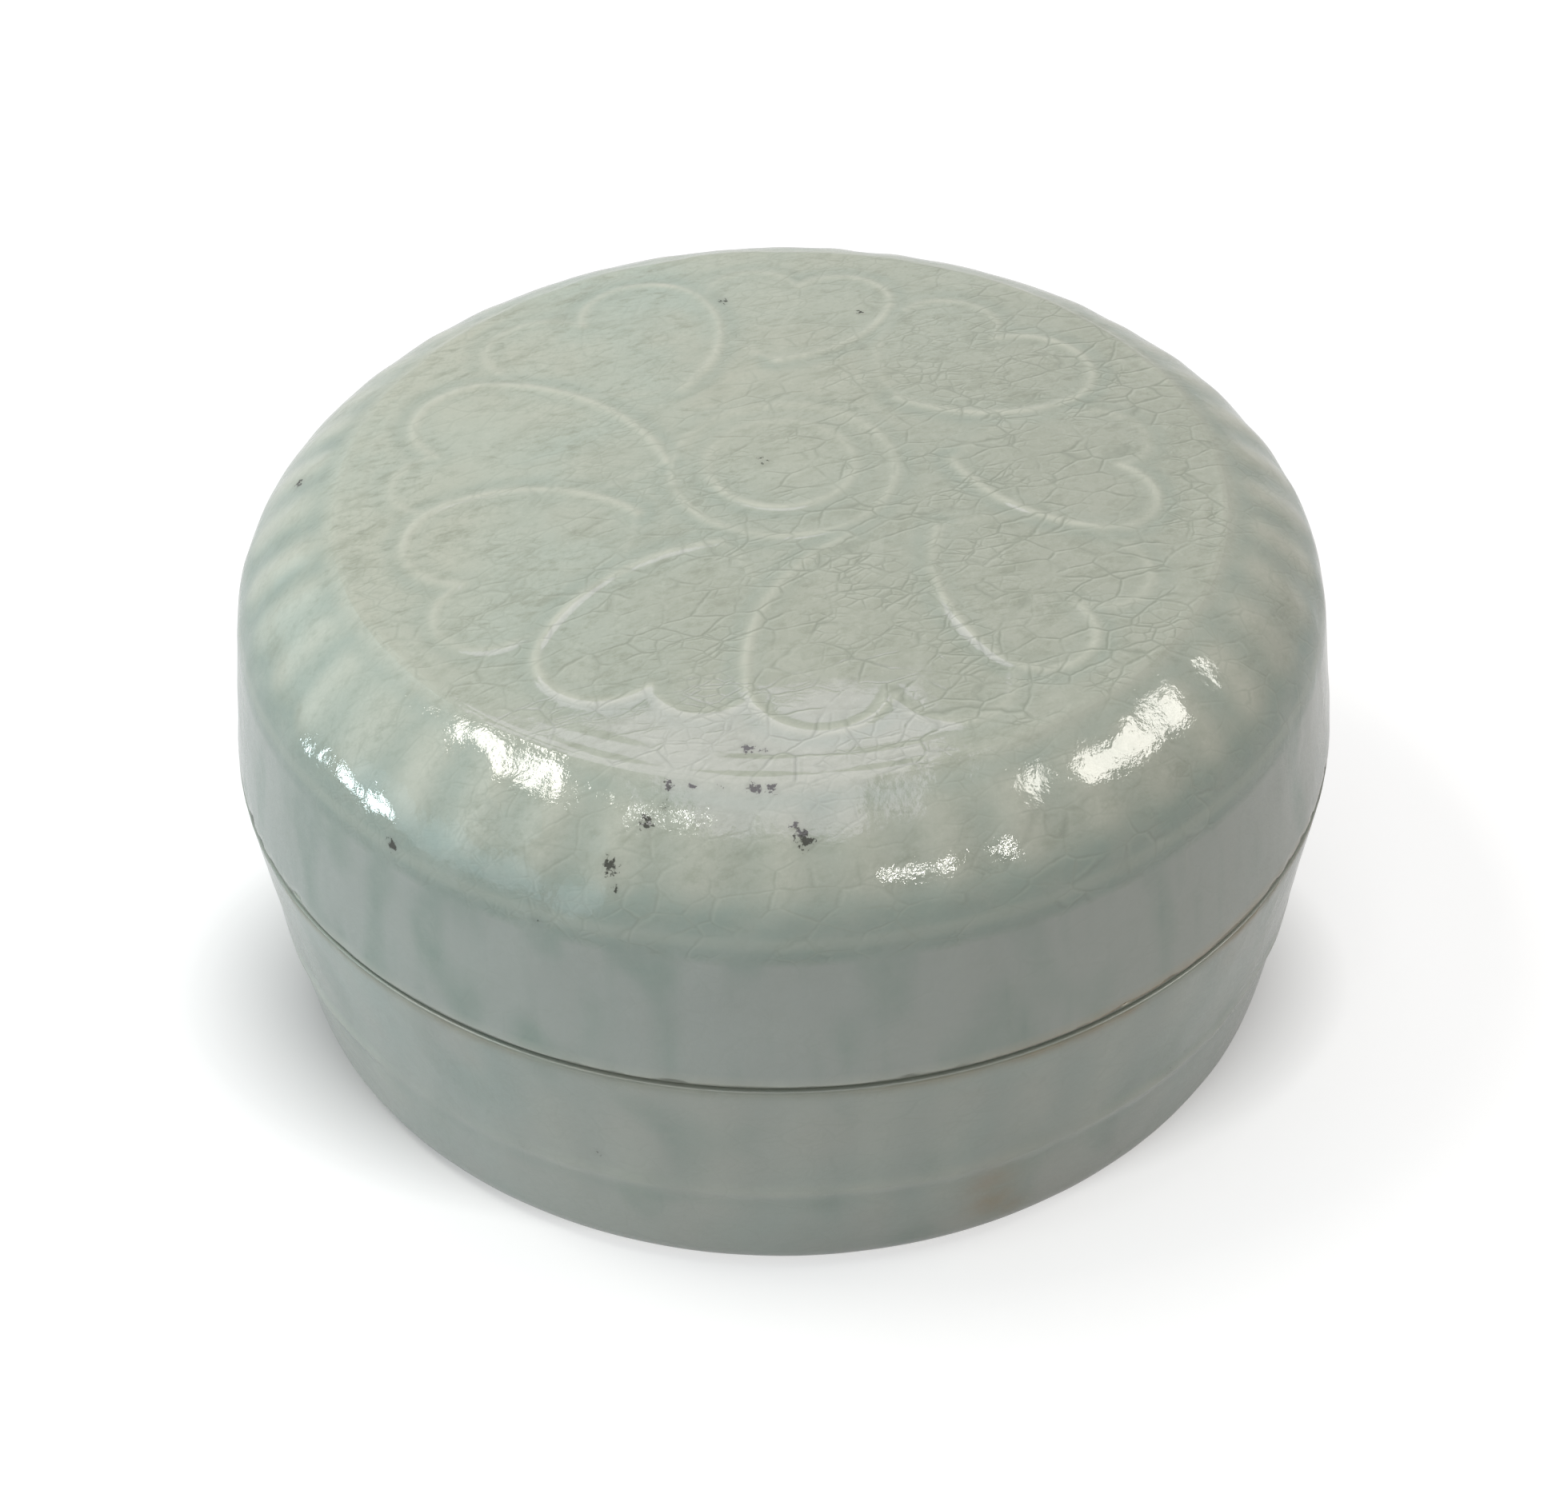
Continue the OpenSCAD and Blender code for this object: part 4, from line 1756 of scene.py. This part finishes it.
@dataclass
class Studio:
    """Plain pale floor, soft light and the camera at the photograph's angle."""

    lens: float = 64.21
    sensor: float = 36
    clip: Point = (0.01, 20)
    tilt: float = 41.34
    reach: float = 198.0
    aim_z: float = 13.64
    roll: float = -1.086
    floor_r: float = 3.0
    floor_drop: float = 0.04
    floor_corners: int = 64
    floor_shade: float = 0.48
    floor_white: float = 0.5
    floor_lift: float = 0.6
    far_lift: float = 0.45
    far_from: float = 250
    far_to: float = 800
    shade: Shade = Shade()
    sky_way: Triple = (-0.42, 0.0, 0.91)
    sky_ends: Point = (-0.3, 1)
    sky_low: float = 0.08
    sky_high: float = 0.565
    mirrored: float = 0.5
    lamps: tuple[Lamp, ...] = (
        Lamp("ceiling_lamp", 98, 81, (0.43, 1.16), 1.75, (1.0, 0.97, 1.0)),
        Lamp("ceiling_shine", 98, 81, (0.43, 1.16), 0.55, (0.6, 0.3, 1.0), reach=0.99, on_matt=False),
        Lamp("ceiling_bar", -140, 72, (0.02, 0.14), 34, (1.0, 1.0, 0.97)),
        Lamp("left_tube", 171, 60.5, (0.32, 0.15), 17, (1.0, 0.97, 0.9), 15),
        Lamp("right_tube", 3, 47, (0.36, 0.26), 13, (1.0, 0.97, 0.9), -30, on_matt=False),
        Lamp("right_soft", 3, 47, (0.4, 0.3), 4.1, (1.0, 0.96, 0.86), on_gloss=False),
        Lamp("left_window", -177, 4.5, (0.24, 0.2), 22, (0.8, 0.97, 1.0), on_matt=False),
        Lamp("left_glow", -152, 12, (0.9, 0.5), 1.3, (0.66, 0.89, 1.0)),
        Lamp("left_wall", 172, 32, (1.2, 0.8), 0.6, (0.6, 0.91, 1.0)),
        Lamp("front_glow", -75, 28, (1.2, 0.5), 0.06, (1.0, 0.98, 0.98)),
        Lamp("front_lamp", -57, 40, (0.2, 0.04), 30, (1.0, 0.98, 0.92)),
    )

    def seen(self, tree: Tree) -> Socket:
        """1 for what the camera sees directly or through glass, and less for what gloss mirrors."""
        rays = tree.add("ShaderNodeLightPath").outputs
        direct = tree.sum("MAXIMUM", rays["Is Camera Ray"], tree.times(rays["Is Glossy Ray"], self.mirrored))
        return tree.sum("MAXIMUM", direct, rays["Is Transmission Ray"])

    def build_world(self) -> None:
        """White background, and a soft sky that lights the box mostly from above."""
        world = bpy.data.worlds.new("soft_room")
        world.use_nodes = True
        tree = Tree(world.node_tree)
        way = tree.add("ShaderNodeTexCoord").outputs["Generated"]
        up = tree.add("ShaderNodeVectorMath", {0: way, 1: self.sky_way}, operation="DOT_PRODUCT")
        level = tree.fit(up.outputs["Value"], *self.sky_ends, self.sky_low, self.sky_high)
        light = tree.add("ShaderNodeBackground", {"Strength": level}).outputs[0]
        white = tree.add("ShaderNodeBackground", {"Color": (1.0, 1.0, 1.0)}).outputs[0]
        both = tree.add("ShaderNodeMixShader", {0: self.seen(tree), 1: light, 2: white}).outputs[0]
        tree.add("ShaderNodeOutputWorld", {"Surface": both})
        bpy.context.scene.world = world

    def _lift(self, tree: Tree) -> Socket:
        """How much the floor glows for the camera: less beside the box, and more far away.

        Args:
            tree: The floor's nodes.

        Returns:
            The socket with the glow.
        """
        shade = self.shade
        middle = (-shade.x * MM, -shade.y * MM, 0)
        ring = {0: tree.place(), "Location": middle, "Scale": (1 / shade.wide, 1, 0)}
        beside = tree.add("ShaderNodeMapping", ring, vector_type="POINT").outputs[0]
        away = tree.add("ShaderNodeVectorMath", {0: beside}, operation="LENGTH").outputs["Value"]
        low = self.floor_lift - shade.deep
        near = tree.fit(away, shade.inner * MM, shade.outer * MM, low, self.floor_lift)
        far = tree.fit(away, self.far_from * MM, self.far_to * MM, 0, self.far_lift)
        return tree.sum("ADD", near, far)

    def floor_paint(self) -> bpy.types.Material:
        """The floor's paint, white to the camera, which keeps the box's shadow.

        Returns:
            The material.
        """
        material = bpy.data.materials.new("floor_paint")
        material.use_nodes = True
        tree = Tree(material.node_tree)
        plain = tree.add("ShaderNodeBsdfDiffuse", {"Color": (self.floor_shade,) * 3}).outputs[0]
        pale = tree.add("ShaderNodeBsdfDiffuse", {"Color": (self.floor_white,) * 3}).outputs[0]
        lift = tree.add("ShaderNodeEmission", {"Strength": self._lift(tree)}).outputs[0]
        white = tree.add("ShaderNodeAddShader", {0: pale, 1: lift}).outputs[0]
        both = tree.add("ShaderNodeMixShader", {0: self.seen(tree), 1: plain, 2: white}).outputs[0]
        tree.add("ShaderNodeOutputMaterial", {"Surface": both})
        return material

    def build_floor(self) -> None:
        """Adds the round floor."""
        angles = np.linspace(0, 360, self.floor_corners + 1)[:-1]
        mesh = bpy.data.meshes.new("floor")
        mesh.from_pydata([(*polar(a, self.floor_r), 0) for a in angles], [], [tuple(range(len(angles)))])
        mesh.materials.append(self.floor_paint())
        floor = bpy.data.objects.new("floor", mesh)
        floor.location.z = -self.floor_drop * MM
        bpy.context.scene.collection.objects.link(floor)

    def build_camera(self) -> None:
        """The camera at the photograph's angle."""
        data = bpy.data.cameras.new("camera")
        data.lens = self.lens
        data.sensor_width = self.sensor
        data.clip_start, data.clip_end = self.clip
        camera = bpy.data.objects.new("camera", data)
        back = Vector((0, -math.cos(math.radians(self.tilt)), math.sin(math.radians(self.tilt))))
        camera.location = (Vector((0, 0, self.aim_z)) + back * self.reach) * MM
        camera.rotation_mode = "QUATERNION"
        facing = (-back).to_track_quat("-Z", "Y")
        camera.rotation_quaternion = facing @ Quaternion((0, 0, 1), math.radians(self.roll))
        bpy.context.scene.collection.objects.link(camera)
        bpy.context.scene.camera = camera

    def build(self) -> None:
        """Builds the whole studio."""
        bpy.context.scene.view_settings.view_transform = "Standard"
        self.build_camera()
        self.build_world()
        self.build_floor()
        for lamp in self.lamps:
            lamp.build()


def main() -> None:
    """Builds the box piece by piece, and the studio round it."""
    logging.basicConfig(level=logging.INFO, format="%(message)s")
    Studio().build()
    paste = Paste()
    paste.build()
    Fibres(paste).build()
    Base().build(paste.edge[1])
    Lid().build()


if __name__ == "__main__":
    main()
